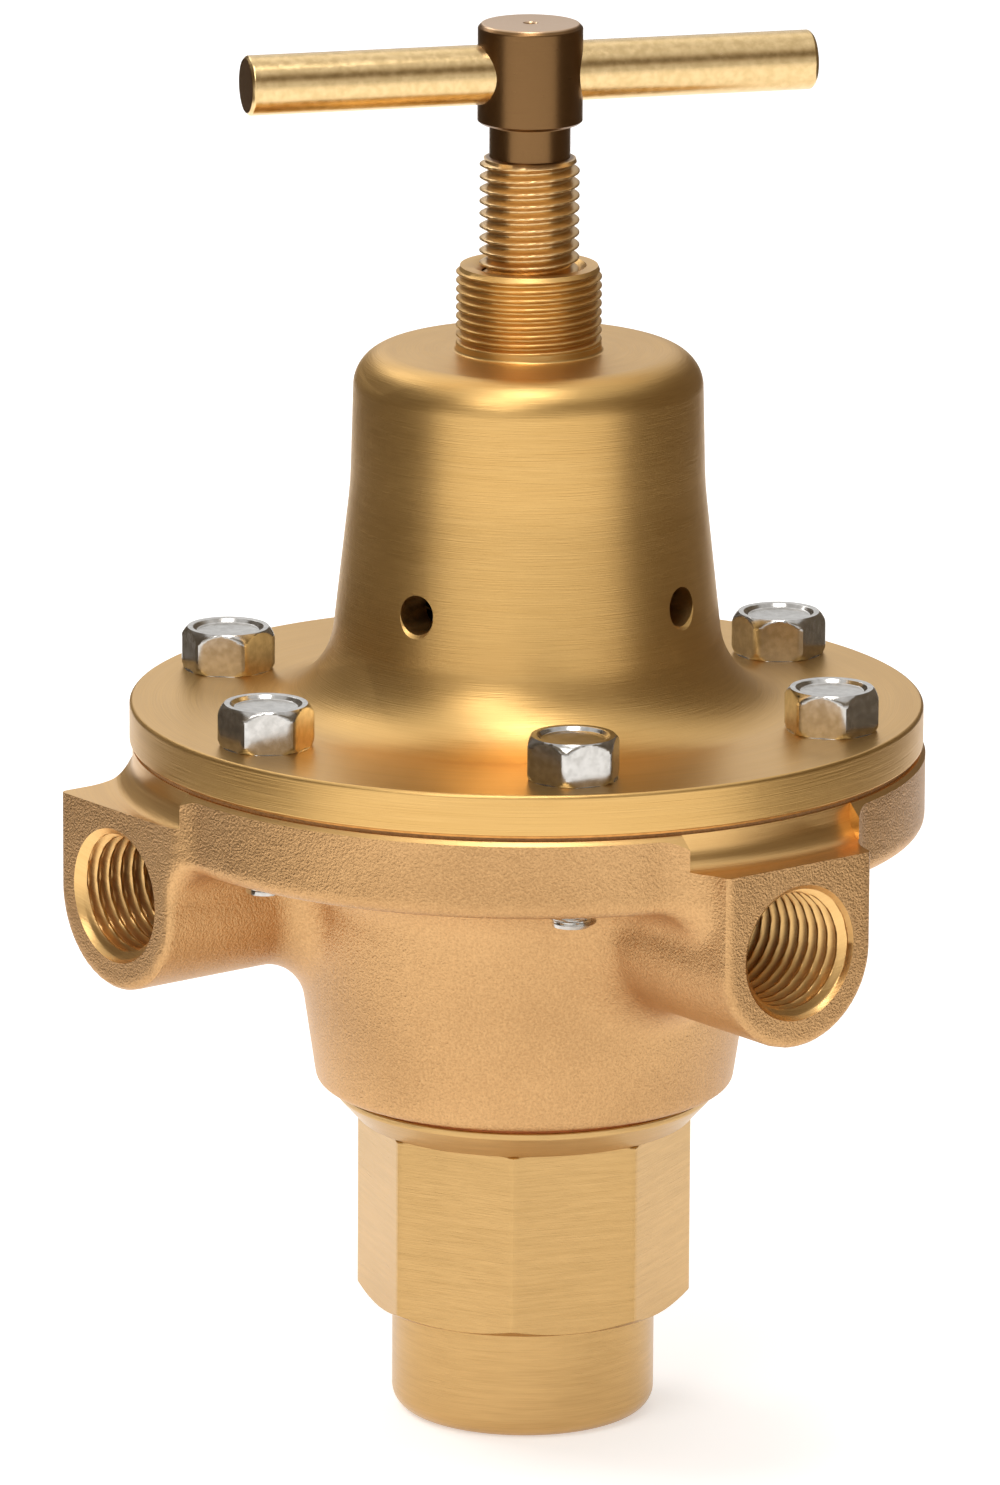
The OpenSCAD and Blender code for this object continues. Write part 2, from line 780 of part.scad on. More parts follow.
module range_spring() {
    color("gray") coil_spring(range_coil_d, range_wire_d, range_turns, plate_top, button_z, 8, 18);
}

module spring_button() {
    color("silver") difference() {
        turned([
            [0, button_z - button_boss_h],
            [spring_boss_r - spring_boss_taper, button_z - button_boss_h],
            [spring_boss_r, button_z],
            [button_d / 2, button_z],
            [button_d / 2, button_top, edge_break],
            [0, button_top]
        ]);
        drill(tip_d + 2 * tip_gap, button_top - button_dimple, button_top + past);
    }
}

module bonnet() {
    color("#c99c4a") difference() {
        turned([
            [0, bonnet_z],
            [flange_r, bonnet_z],
            [flange_r, flange_top, edge_break],
            [bell_base_d / 2, flange_top, bell_fillet_r],
            [bell_waist_d / 2, flange_top + bell_waist_h, bell_waist_r],
            [bell_top_d / 2, bell_top, bell_shoulder_r],
            [neck_d / 2, bell_top, small_break],
            [neck_d / 2, neck_top - edge_break],
            [neck_d / 2 - edge_break, neck_top],
            [0, neck_top]
        ]);
        turned([
            [0, bonnet_z - past],
            [plate_room_r, bonnet_z - past],
            [plate_room_r, bonnet_z + plate_room_h, edge_break],
            [bell_bore_r, bonnet_z + plate_room_h, edge_break],
            [bell_bore_r, bell_roof_z, roof_corner_r],
            [0, bell_roof_z]
        ]);
        drill(spindle_d + 2 * thread_gap, bell_roof_z - past, neck_top + past);
        for (i = [0:3])
            rotate([0, 0, vent_turn - 90 + 90 * i]) translate([0, 0, flange_top + vent_h])
                rotate([0, 90, 0]) cylinder(d = vent_d, h = flange_r);
        at_screws() drill(screw_d + 2 * screw_hole_gap, bonnet_z - past, flange_top + past);
    }
}

module adjusting_screw() {
    color("#b58a48") difference() {
        turned([
            [0, tip_z],
            [tip_d / 2, tip_z, edge_break],
            [tip_d / 2, spindle_z],
            [spindle_r - edge_break, spindle_z],
            [spindle_r, spindle_z + edge_break],
            [spindle_r, undercut_z - edge_break],
            [spindle_r - edge_break, undercut_z],
            [undercut_d / 2, undercut_z],
            [undercut_d / 2, head_z],
            [head_d / 2, head_z, small_break],
            [head_d / 2, head_top, edge_break],
            [0, head_top]
        ]);
        rotate([0, 0, bar_turn]) translate([-head_d, 0, bar_z]) rotate([0, 90, 0])
            cylinder(d = bar_d, h = 2 * head_d);
    }
}

module tee_bar() {
    color("#d8b25c") rotate([0, 0, bar_turn]) translate([-bar_l / 2, 0, bar_z]) rotate([0, 90, 0]) turned([
        [0, 0],
        [bar_d / 2 - small_break, 0],
        [bar_d / 2, small_break],
        [bar_d / 2, bar_l - small_break],
        [bar_d / 2 - small_break, bar_l],
        [0, bar_l]
    ]);
}

// Hex heads bulge between chamfers at both ends, and the top is dished
module flange_screw() {
    corner_r = screw_head_w / 2 / cos(30);
    seat_r = screw_head_w / 2 - head_seat_in;
    rise = corner_r - seat_r;
    dish_r = seat_r - head_rim_w;
    dish_depth = 0.8;
    dish_taper = 0.3;
    intersection() {
        union() {
            hex_prism(screw_head_w, flange_top, screw_head_h);
            drill(screw_d, flange_top - screw_l, flange_top + past);
        }
        turned([
            [0, flange_top - screw_l],
            [screw_d / 2 - edge_break, flange_top - screw_l],
            [screw_d / 2, flange_top - screw_l + edge_break],
            [screw_d / 2, flange_top],
            [seat_r, flange_top],
            [corner_r, flange_top + rise],
            [corner_r, flange_top + screw_head_h - rise],
            [seat_r, flange_top + screw_head_h],
            [dish_r, flange_top + screw_head_h],
            [dish_r - dish_taper, flange_top + screw_head_h - dish_depth],
            [0, flange_top + screw_head_h - dish_depth]
        ]);
    }
}

module flange_screws() {
    color("silver") at_screws() flange_screw();
}

body();
bottom_cap();
cap_seal();
poppet_guide();
poppet_spring();
poppet();
seat_disc();
disc_retainer();
seat_nozzle();
nozzle_gasket();
diaphragm_gasket();
diaphragm();
diaphragm_washer();
pusher();
diaphragm_plate();
diaphragm_nut();
range_spring();
spring_button();
bonnet();
adjusting_screw();
tee_bar();
flange_screws();
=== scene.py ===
# %% [markdown]
# # A brass pressure reducing valve
#
# The real valve holds a steady low pressure behind it. A long screw with a tee bar presses a spring on a thin
# metal diaphragm, and the diaphragm opens a small poppet inside the cast body. Everything seen from outside is
# metal: a turned bell, a blasted casting, a milled cap and six bright screws.
#
# The engineering model comes in first as a fixed frame. It gives the places and the motion, and the pieces made
# below are the finer skins that stand for its nodes.

# %% Load the frame
import json
import math

import bpy
import numpy as np
from mathutils import Matrix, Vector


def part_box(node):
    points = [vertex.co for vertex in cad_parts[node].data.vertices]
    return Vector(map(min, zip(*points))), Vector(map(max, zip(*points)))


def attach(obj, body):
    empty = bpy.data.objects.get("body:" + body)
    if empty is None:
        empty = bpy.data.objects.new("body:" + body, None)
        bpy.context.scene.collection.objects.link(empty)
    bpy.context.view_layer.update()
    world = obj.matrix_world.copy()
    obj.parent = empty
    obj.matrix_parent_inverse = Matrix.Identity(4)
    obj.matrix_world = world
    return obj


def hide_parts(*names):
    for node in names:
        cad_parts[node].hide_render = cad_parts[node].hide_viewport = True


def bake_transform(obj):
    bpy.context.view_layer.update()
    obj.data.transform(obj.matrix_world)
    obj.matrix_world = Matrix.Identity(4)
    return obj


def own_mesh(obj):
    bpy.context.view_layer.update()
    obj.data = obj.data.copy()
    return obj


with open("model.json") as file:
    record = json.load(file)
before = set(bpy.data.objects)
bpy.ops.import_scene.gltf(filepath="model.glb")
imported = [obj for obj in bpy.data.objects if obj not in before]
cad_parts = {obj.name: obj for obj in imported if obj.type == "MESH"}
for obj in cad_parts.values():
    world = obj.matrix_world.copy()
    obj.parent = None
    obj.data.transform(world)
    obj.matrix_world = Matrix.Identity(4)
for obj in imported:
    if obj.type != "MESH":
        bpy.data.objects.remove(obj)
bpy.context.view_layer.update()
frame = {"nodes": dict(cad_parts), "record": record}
MM = 0.001


# %% [markdown]
# The camera comes before the pieces, because every size is judged through it. A long lens far away keeps the
# flange ellipses slim. Its place was found by fitting the circles of the flanges, the neck and the cap to the
# photograph. The aim point lies on the valve's axis and falls a little beside the middle of the frame, so the
# camera is turned by that many pixels instead of being shifted.

# %% Camera
frame_width, frame_height = 1000, 1485
focal_pixels = 11408.2
camera_distance = 1149.3 * MM
aim_point = np.array([0.0, 0.0, 74.23]) * MM
aim_pixel = np.array([526.57, 697.26])
azimuth, elevation, roll = np.radians([51.9, 13.88, 0.34])


def turned_pair(first, second, angle):
    """Turns two perpendicular unit vectors by an angle in their own plane."""
    return (
        first * math.cos(angle) + second * math.sin(angle),
        second * math.cos(angle) - first * math.sin(angle),
    )


level_forward = np.array([-math.sin(azimuth), math.cos(azimuth), 0.0])
level_right = np.array([math.cos(azimuth), math.sin(azimuth), 0.0])
forward = level_forward * math.cos(elevation) - np.array([0, 0, math.sin(elevation)])
eye = aim_point - camera_distance * forward
right, up = turned_pair(level_right, np.cross(level_right, forward), roll)
right, forward = turned_pair(right, forward, math.atan2(aim_pixel[0] - frame_width / 2, focal_pixels))
up, forward = turned_pair(up, forward, math.atan2(frame_height / 2 - aim_pixel[1], focal_pixels))

camera_data = bpy.data.cameras.new("camera")
camera_data.sensor_width = 36.0
camera_data.lens = focal_pixels * camera_data.sensor_width / frame_height
camera = bpy.data.objects.new("camera", camera_data)
camera.matrix_world = Matrix(np.column_stack([right, up, -forward, eye]).tolist() + [[0, 0, 0, 1]])
bpy.context.scene.collection.objects.link(camera)
bpy.context.scene.camera = camera
print("camera: lens", round(camera_data.lens, 1), "mm at", np.round(eye, 3))

# %% [markdown]
# Nearly every piece came off a lathe, so the first helpers do what a lathe does. A profile is a line of radius
# and height through a few named corners, and each corner may carry a rounding. Turning it about the upright
# axis gives a grid: one parameter runs along the profile and the other round the axis. Arrays hold the whole
# grid at once, which is shorter and quicker than adding points one by one.

# %% Profiles and turned surfaces
def rounded_profile(corners, arc_step=5.0):
    """A line through corners (radius, height, rounding). A rounding is the arc that touches both lines at its
    corner: it starts rounding * tan(turn / 2) before the corner and sweeps through the turn."""
    at = np.array([corner[:2] for corner in corners], float)
    pieces = [at[:1]]
    for before, here, after, corner in zip(at, at[1:], at[2:], corners[1:]):
        rounding = corner[2] if len(corner) > 2 else 0
        if not rounding:
            pieces.append(here[None])
            continue
        come = (here - before) / np.hypot(*(here - before))
        leave = (after - here) / np.hypot(*(after - here))
        turn = math.atan2(come[0] * leave[1] - come[1] * leave[0], come @ leave)
        side = np.array([-come[1], come[0]]) * math.copysign(1, turn)
        sweep = np.linspace(0, abs(turn), max(3, math.ceil(math.degrees(abs(turn)) / arc_step) + 1))[:, None]
        start = here - come * rounding * math.tan(abs(turn) / 2)
        pieces.append(start + rounding * (np.sin(sweep) * come + (1 - np.cos(sweep)) * side))
    return np.vstack(pieces + [at[-1:]])


def subdivided(profile, step):
    """Splits every straight piece of a profile evenly, so that none is longer than step."""
    leg = np.diff(profile, axis=0)
    count = np.maximum(1, np.ceil(np.hypot(*leg.T) / step)).astype(int)
    which = np.repeat(np.arange(len(leg)), count)
    part = (np.arange(count.sum()) - np.repeat(np.cumsum(count) - count, count)) / count[which]
    return np.vstack([profile[which] + part[:, None] * leg[which], profile[-1:]])


def ring_faces(rows, sides, looped):
    """Quads between neighbouring rings of a rows x sides grid, wound to face away from the path they follow."""
    row = np.arange(rows if looped else rows - 1)[:, None]
    side = np.arange(sides)[None]
    here, above = row * sides, (row + 1) % rows * sides
    beside = (side + 1) % sides
    return np.stack([here + side, here + beside, above + beside, above + side], -1).reshape(-1, 4)


def mesh_object(name, points, corners, lengths):
    """An object from points in millimetres, a flat list of face corners and the corner count of each face."""
    mesh = bpy.data.meshes.new(name)
    mesh.vertices.add(len(points))
    mesh.vertices.foreach_set("co", (points * MM).astype(np.float32).ravel())
    mesh.loops.add(len(corners))
    mesh.loops.foreach_set("vertex_index", corners.astype(np.int32))
    mesh.polygons.add(len(lengths))
    mesh.polygons.foreach_set("loop_start", (np.cumsum(lengths) - lengths).astype(np.int32))
    mesh.update(calc_edges=True)
    piece = bpy.data.objects.new(name, mesh)
    bpy.context.scene.collection.objects.link(piece)
    return piece


def ring_surface(name, rings, poles=None):
    """Makes an object from a rows x sides x 3 grid in millimetres. Two poles close its ends with fans, and
    without poles the last ring joins the first."""
    rows, sides = rings.shape[:2]
    points = rings.reshape(-1, 3)
    corners = ring_faces(rows, sides, poles is None).ravel()
    lengths = np.full(len(corners) // 4, 4)
    if poles is not None:
        points = np.vstack([points, poles])
        near = np.arange(sides)
        far = (near + 1) % sides
        last = (rows - 1) * sides
        below = np.stack([np.full(sides, rows * sides), far, near], -1)
        above = np.stack([np.full(sides, rows * sides + 1), last + near, last + far], -1)
        corners = np.concatenate([corners, below.ravel(), above.ravel()])
        lengths = np.concatenate([lengths, np.full(2 * sides, 3)])
    return mesh_object(name, points, corners, lengths)


def turned(name, profile, sides=192, start=0.0, shape=None, place=None):
    """Turns a profile about Z: point (s, t) is (r(s) cos t, r(s) sin t, z(s)), and shape(r, z, t) may change
    the radius. A profile from axis to axis is closed by its poles, and any other is a closed loop. place is
    a 3 x 4 array that turns and moves the result."""
    capped = profile[0, 0] == 0
    line = profile[1:-1] if capped else profile
    angle = start + np.linspace(0, 2 * np.pi, sides, endpoint=False)[None]
    radius, height, angle = np.broadcast_arrays(line[:, :1], line[:, 1:], angle)
    if shape:
        radius = shape(radius, height, angle)
    rings = np.stack([radius * np.cos(angle), radius * np.sin(angle), height], -1)
    poles = np.array([[0, 0, profile[0, 1]], [0, 0, profile[-1, 1]]], float) if capped else None
    if place is not None:
        rings = rings @ place[:, :3].T + place[:, 3]
        poles = poles @ place[:, :3].T + place[:, 3] if capped else None
    return ring_surface(name, rings, poles)


def span(node):
    """Lowest and highest corner of a CAD node, in millimetres."""
    return tuple(np.array(corner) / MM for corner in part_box(node))


body_low, body_high = span("body")
bonnet_low, bonnet_high = span("bonnet")
print("body from", np.round(body_low, 2), "to", np.round(body_high, 2))

# %% [markdown]
# Three kinds of thread show: the coarse one of the spindle, the fine one of the bell's neck and the pipe
# threads in the ports. A bump map would leave their outlines smooth, so they are cut into the grid: the radius
# follows a triangle wave that climbs one pitch per turn. The crests and roots are cut flat as a real tool
# leaves them, and the wave fades out at both ends.

# %% Thread form
def thread_height(turns, crest=0.1, root=0.14):
    """Height from 0 at the root to 1 at the crest of a V thread, for a place counted in turns. A triangle wave
    loses the share crest at its top and root at its bottom, and a cubic eases the two corners."""
    wave = 1 - np.abs(2 * (turns % 1) - 1)
    flank = np.clip((wave - root) / (1 - root - crest), 0, 1)
    return flank + 0.35 * (flank * flank * (3 - 2 * flank) - flank)


def faded(height, low, high, run):
    """Rises from 0 to 1 over run above low and falls again over run below high."""
    return np.clip((height - low) / run, 0, 1) * np.clip((high - height) / run, 0, 1)


print("thread height from root to crest:", np.round(thread_height(np.linspace(0, 0.5, 6)), 2))

# %% [markdown]
# Drilled and milled openings are cut with Boolean modifiers. The manifold solver is fast and exact as long as
# both meshes are closed, which the turned surfaces are. The result is read back as a plain mesh, so no modifier
# is left on the piece, and edges sharper than a set angle stay crisp while the rest is shaded smooth.

# %% Cutting and shading
def place_along(origin, axis, turn=0.0):
    """A 3 x 4 array that carries +Z to axis and the centre to origin, after a turn about Z."""
    axis = np.array(axis, float) / np.linalg.norm(axis)
    aside = np.cross([0, 0, 1], axis) if abs(axis[2]) < 0.9 else np.array([1.0, 0, 0])
    aside = aside / np.linalg.norm(aside)
    across = np.cross(axis, aside)
    first, second = turned_pair(aside, across, turn)
    return np.column_stack([first, second, axis, origin])


def pin(name, radius, low, high, place=None, sides=64):
    """A closed round pin from low to high, used as a drill."""
    line = np.array([[0, low], [radius, low], [radius, high], [0, high]], float)
    return turned(name, line, sides, place=place)


def cut(piece, *tools, operation="DIFFERENCE", slot=0):
    """Takes tools away from a piece, or keeps what they share, and deletes them. The faces that a tool leaves
    behind get the material slot of the given number."""
    for tool in tools:
        tool.data.materials.clear()
        for _ in range(slot + 1):
            tool.data.materials.append(None)
        tool.data.polygons.foreach_set("material_index", np.full(len(tool.data.polygons), slot, np.int32))
        modifier = piece.modifiers.new("cut", "BOOLEAN")
        modifier.solver = "MANIFOLD"
        modifier.operation = operation
        modifier.object = tool
    for _ in range(slot + 1 - len(piece.data.materials)):
        piece.data.materials.append(None)
    graph = bpy.context.evaluated_depsgraph_get()
    mesh = bpy.data.meshes.new_from_object(piece.evaluated_get(graph))
    piece.modifiers.clear()
    piece.data = mesh
    for tool in tools:
        bpy.data.objects.remove(tool)
    return piece


def shade(piece, angle=28.0):
    """Shades a piece smooth except at edges that turn by more than angle degrees."""
    mesh = piece.data
    mesh.polygons.foreach_set("use_smooth", np.ones(len(mesh.polygons), bool))
    mesh.set_sharp_from_angle(angle=math.radians(angle))
    mesh.update()
    print(piece.name, "triangles:", sum(len(p.vertices) - 2 for p in mesh.polygons))
    return piece


# %% [markdown]
# The bonnet is a bell turned from bar: a flat flange, a wide fillet, a slightly tapering wall, a round shoulder
# and a neck with a fine thread that holds the valve in a panel. It is hollow for the spring. One closed profile
# gives the outside and the inside together, and the vents and screw holes are drilled afterwards.

# %% Bonnet
flange_r, bonnet_z, neck_top = bonnet_high[0], bonnet_low[2], bonnet_high[2]
flange_t, bell_h, roof_t = 4.1, 35.9, 2.9
flange_top = bonnet_z + flange_t
bell_top = flange_top + bell_h
bell_roof = bell_top - roof_t
foot_r, foot_fillet = 20.3, 8.5
wall_r, wall_h, wall_bend = 17.8, 22.3, 40.0
shoulder_r, shoulder_rounding = 17.45, 3.7
neck_r, spindle_bore_r = 7.3, 5.24
spring_room_r, plate_room_r = 14.65, 20.5
plate_room_top = bonnet_z + 3.3
neck_pitch, neck_thread_depth = 0.907, 0.5
spindle_pitch, spindle_thread_depth, spindle_r = 1.25, 0.82, 5.0
neck_thread_low = bell_top + 0.75
vent_r, vent_z, vent_turn = 2.0, flange_top + 12.1, 16.4
vent_start, vent_face, vent_flare = 8.0, 18.85, 4.0
screw_circle_r, screw_hole_r = 32.75, 2.665
screw_angles = np.radians(30.0 + np.arange(6) * 60.0)


def spindle_dip(height, angle):
    """How far the spindle's thread lies below its crest, as depth times (1 - thread height)."""
    return spindle_thread_depth * (1 - thread_height(height / spindle_pitch - angle / (2 * np.pi)))


def neck_thread(radius, height, angle):
    """The neck's radius less the thread depth times (1 - thread height) between its run-outs, and in the bore
    the shape of the spindle's thread with a little play."""
    turns = height / neck_pitch - angle / (2 * np.pi)
    depth = neck_thread_depth * faded(height, neck_thread_low, neck_top + 0.1, 0.3)
    on_neck = np.abs(radius - neck_r) < 0.01
    in_bore = np.abs(radius - spindle_bore_r) < 0.01
    tapped = spindle_bore_r - spindle_dip(height, angle) * np.clip((neck_top - 0.2 - height) / 0.5, 0, 1)
    return np.where(in_bore, tapped, radius - np.where(on_neck, depth * (1 - thread_height(turns)), 0))


bell_outside = rounded_profile([
    (plate_room_r, bonnet_z),
    (flange_r, bonnet_z, 0.15),
    (flange_r, flange_top, 0.4),
    (foot_r, flange_top, foot_fillet),
    (wall_r, flange_top + wall_h, wall_bend),
    (shoulder_r, bell_top, shoulder_rounding),
    (neck_r, bell_top, 0.3),
    (neck_r, neck_thread_low),
], arc_step=3.0)
neck_outside = subdivided(np.array([(neck_r, neck_thread_low), (neck_r, neck_top - 0.4)]), neck_pitch / 22)
bell_mouth = np.array([(neck_r - 0.4, neck_top), (spindle_bore_r + 0.5, neck_top)])
bell_bore = np.array([(spindle_bore_r, neck_top - 0.5), (spindle_bore_r, bell_roof)])
bell_bore = subdivided(bell_bore, spindle_pitch / 12)
bell_inside = rounded_profile([
    (spindle_bore_r + 0.5, bell_roof),
    (spring_room_r, bell_roof, 2.0),
    (spring_room_r, plate_room_top, 0.4),
    (plate_room_r, plate_room_top, 0.4),
    (plate_room_r, bonnet_z + 0.3),
])
bell_profile = np.vstack([bell_outside[:-1], neck_outside, bell_mouth, bell_bore, bell_inside])
bell = turned("bell", bell_profile, 192, shape=neck_thread)
vent_line = np.array([
    (0, vent_start), (vent_r, vent_start), (vent_r, vent_face), (vent_r + vent_flare, vent_face + vent_flare),
    (0, vent_face + vent_flare),
])
vents = [
    turned(f"vent_{i}", vent_line, 64, place=place_along([0, 0, vent_z], [math.sin(a), -math.cos(a), 0]))
    for i, a in enumerate(np.radians(vent_turn + 90.0 * np.arange(4)))
]


def screw_place(angle, height=0.0, turn=0.0):
    """The place of one flange screw on its circle."""
    centre = [screw_circle_r * math.cos(angle), screw_circle_r * math.sin(angle), height]
    return place_along(centre, [0, 0, 1], turn)


bell_holes = [
    pin(f"bell_hole_{i}", screw_hole_r, bonnet_z - 1, flange_top + 1, screw_place(a))
    for i, a in enumerate(screw_angles)
]
shade(cut(bell, *vents, *bell_holes))

# %% [markdown]
# The adjusting screw is one turned spindle: a small tip that presses the spring button, a coarse thread, a
# narrow undercut where the thread tool ran out, and a plain round head with a cross hole. The tee bar is drawn
# rod, pressed through that hole, with its ends faced and lightly chamfered.

# %% Adjusting screw and tee bar
screw_low, screw_high = span("adjusting_screw")
bar_low, bar_high = span("tee_bar")
head_top, bar_z = screw_high[2], (bar_low[2] + bar_high[2]) / 2
bar_r, bar_half = (bar_high[2] - bar_low[2]) / 2, 29.2
bar_turn = math.radians(67.7)
bar_axis = np.array([math.cos(bar_turn), math.sin(bar_turn), 0.0])
tip_z, tip_h, tip_r = screw_low[2], 3.0, 3.2
spindle_low, undercut_low, head_low = tip_z + tip_h, head_top - 13.6, head_top - 10.0
undercut_r, head_r, lead_in_r, run_out_r = 4.05, 5.25, 4.2, 4.6
mark_r, mark_depth = 0.75, 0.55
fine_low = bell_top + 3


def spindle_thread(radius, height, angle):
    """The spindle's radius less the dip of its thread, between the thread's two run-outs."""
    fade = faded(height, spindle_low - 0.2, undercut_low + 0.05, 0.35)
    on_thread = np.abs(radius - spindle_r) < 0.01
    return radius - np.where(on_thread, fade * spindle_dip(height, angle), 0)


spindle_lower = rounded_profile([
    (0, tip_z), (tip_r, tip_z, 0.4), (tip_r, spindle_low), (lead_in_r, spindle_low),
    (spindle_r, spindle_low + 0.5),
])
spindle_thread_line = np.vstack([
    subdivided(np.array([(spindle_r, spindle_low + 0.5), (spindle_r, fine_low)]), spindle_pitch / 15)[:-1],
    subdivided(np.array([(spindle_r, fine_low), (spindle_r, undercut_low - 0.3)]), spindle_pitch / 28),
])
spindle_upper = rounded_profile([
    (run_out_r, undercut_low), (undercut_r, undercut_low + 0.15), (undercut_r, head_low - 0.2, 0.2),
    (head_r - 0.25, head_low - 0.01), (head_r, head_low + 0.22), (head_r, head_top - 0.42, 0.25),
    (head_r - 0.42, head_top, 0.25), (mark_r, head_top), (0.45, head_top - 0.3), (0, head_top - mark_depth),
])
spindle_profile = np.vstack([spindle_lower[:-1], spindle_thread_line, spindle_upper])
spindle = turned("spindle", spindle_profile, 144, shape=spindle_thread)
bar_place = place_along([0, 0, bar_z], bar_axis)
shade(cut(spindle, pin("cross_hole", bar_r + 0.015, -8, 8, bar_place, 96)))
bar_profile = rounded_profile([
    (0, -bar_half), (bar_r - 0.3, -bar_half, 0.12), (bar_r, -bar_half + 0.3, 0.3),
    (bar_r, bar_half - 0.3, 0.3), (bar_r - 0.3, bar_half, 0.12), (0, bar_half),
])
bar = shade(turned("crossbar", bar_profile, 96, place=bar_place))
print("faces of the spindle:", len(spindle.data.polygons), "and of the bar:", len(bar.data.polygons))

# %% [markdown]
# The bottom cap closes the body from below. Its end is round, its middle has eight milled wrench flats, and a
# round collar meets the body. The flats are cut in the grid by taking the smaller of two radii at each point:
# that of the octagon and that of the turned blank, whose chamfer gives each flat its curved upper edge. The
# columns of the grid start on a corner, so that the eight edges stay straight.

# %% Bottom cap
cap_top = span("bottom_cap")[1][2]
cap_end_r, cap_end_h = 13.35, 11.7
flats_half_w, flats_top, cap_turn = 15.7, 32.4, math.radians(3.4)
flats_corner_r = flats_half_w / math.cos(math.pi / 8)
collar_r, collar_top, spigot_r = 19.2, 34.0, 15.5
end_drop, top_drop, chamfer_slope = 0.85, 1.75, math.tan(math.radians(30))
cap_bore_r, cap_bore_z, guide_hole_r, guide_hole_z = 9.5, 7.0, 4.5, 3.75


def polygon_radius(angle, half_width, corners):
    """Distance from the axis to the side of a regular polygon: half its width over the cosine of the angle
    to the middle of the nearest side."""
    sector = 2 * np.pi / corners
    return half_width / np.cos((angle + sector / 2) % sector - sector / 2)


def wrench_flats(radius, height, angle):
    """The smaller of the blank's and the octagon's radius on the rows of the flats, with the eight edges
    broken by a hair."""
    octagon = polygon_radius(angle - cap_turn - np.pi / 8, flats_half_w, 8)
    octagon = np.minimum(octagon, flats_corner_r - 0.05)
    on_flats = (height > cap_end_h + 0.01) & (height < throat_z + 0.001)
    return np.where(on_flats, np.minimum(radius, octagon), radius)


blank_r = flats_corner_r + 0.1
flats_foot_r = flats_corner_r - end_drop / chamfer_slope
throat_r = 16.75
throat_z = flats_top - top_drop + (flats_corner_r - throat_r) * chamfer_slope
cap_lower = rounded_profile([
    (0, 0), (cap_end_r, 0, 2.2), (cap_end_r, cap_end_h - 0.3, 0.3), (cap_end_r + 0.4, cap_end_h),
    (flats_foot_r, cap_end_h),
])
cap_flats = subdivided(np.array([
    (flats_foot_r, cap_end_h), (blank_r, cap_end_h + (blank_r - flats_foot_r) * chamfer_slope),
    (blank_r, cap_end_h + 2.0), (blank_r, flats_top - 3.0),
    (blank_r, throat_z - (blank_r - throat_r) * chamfer_slope), (throat_r, throat_z),
]), 0.12)
cap_upper = rounded_profile([
    (throat_r, throat_z), (throat_r + 0.3, throat_z + 0.2, 0.3), (collar_r, flats_top + 0.95, 0.4),
    (collar_r, collar_top, 0.2), (spigot_r, collar_top), (spigot_r, cap_top - 0.4), (spigot_r - 0.4, cap_top),
    (cap_bore_r, cap_top), (cap_bore_r, cap_bore_z), (guide_hole_r, cap_bore_z), (guide_hole_r, guide_hole_z),
    (0, guide_hole_z),
])
cap_profile = np.vstack([cap_lower, cap_flats[1:], cap_upper[1:]])
cap = turned("cap", cap_profile, 384, start=cap_turn, shape=wrench_flats)
shade(cap, 20.0)

# %% [markdown]
# The six flange screws are bright plated hex heads, forged in a die: the top is dished, and both ends of the
# hexagon are turned to a curve, so that each flat is bounded by two arcs. Again the smaller of two radii
# makes the shape, now of a hexagon and a barrel. Each screw stopped at its own angle when it was tightened.

# %% Flange screws
screws_low, screws_high = span("flange_screws")
head_half_w, head_h = 4.25, screws_high[2] - flange_top
head_corner_r = head_half_w / math.cos(math.pi / 6)
head_seat_r = head_half_w - 0.1
shank_r, shank_pitch, shank_thread_depth = 2.415, 0.794, 0.42
shank_low = screws_low[2] - flange_top
head_turns = np.radians([8.0, 22.0, -6.0, 14.0, 27.0, -17.0])


def hex_head(radius, height, angle):
    """The smaller of a barrel's and a hexagon's radius on the head, and a fine thread on the shank."""
    hexagon = np.minimum(polygon_radius(angle, head_half_w, 6), head_corner_r - 0.1)
    turns = height / shank_pitch - angle / (2 * np.pi)
    depth = shank_thread_depth * faded(height, shank_low - 0.1, -5.0, 0.3)
    threaded = radius - depth * (1 - thread_height(turns))
    below = np.where(radius < shank_r + 0.01, threaded, radius)
    return np.where(height > 0.01, np.minimum(radius, hexagon), below)


barrel_z = np.linspace(0.02, head_h, 41)
barrel_top = np.clip((barrel_z - 0.5 * head_h) / (0.5 * head_h), 0, 1) ** 3
barrel_foot = np.clip((0.3 * head_h - barrel_z) / (0.3 * head_h), 0, 1) ** 2
barrel_drop = (head_corner_r - head_seat_r) * barrel_top + 0.4 * barrel_foot
barrel_line = np.column_stack([head_corner_r - barrel_drop, barrel_z])
shank_line = subdivided(np.array([(shank_r, shank_low + 0.4), (shank_r, -4.8)]), shank_pitch / 8)
dish = rounded_profile([
    (head_seat_r, head_h), (head_seat_r - 0.55, head_h, 0.25), (head_seat_r - 0.95, head_h - 0.42, 0.3),
    (0, head_h - 0.62),
])
screw_profile = np.vstack([
    [(0, shank_low), (shank_r - 0.4, shank_low)], shank_line, [(shank_r, 0.0), (head_corner_r - 0.45, 0.0)],
    barrel_line, dish[1:],
])


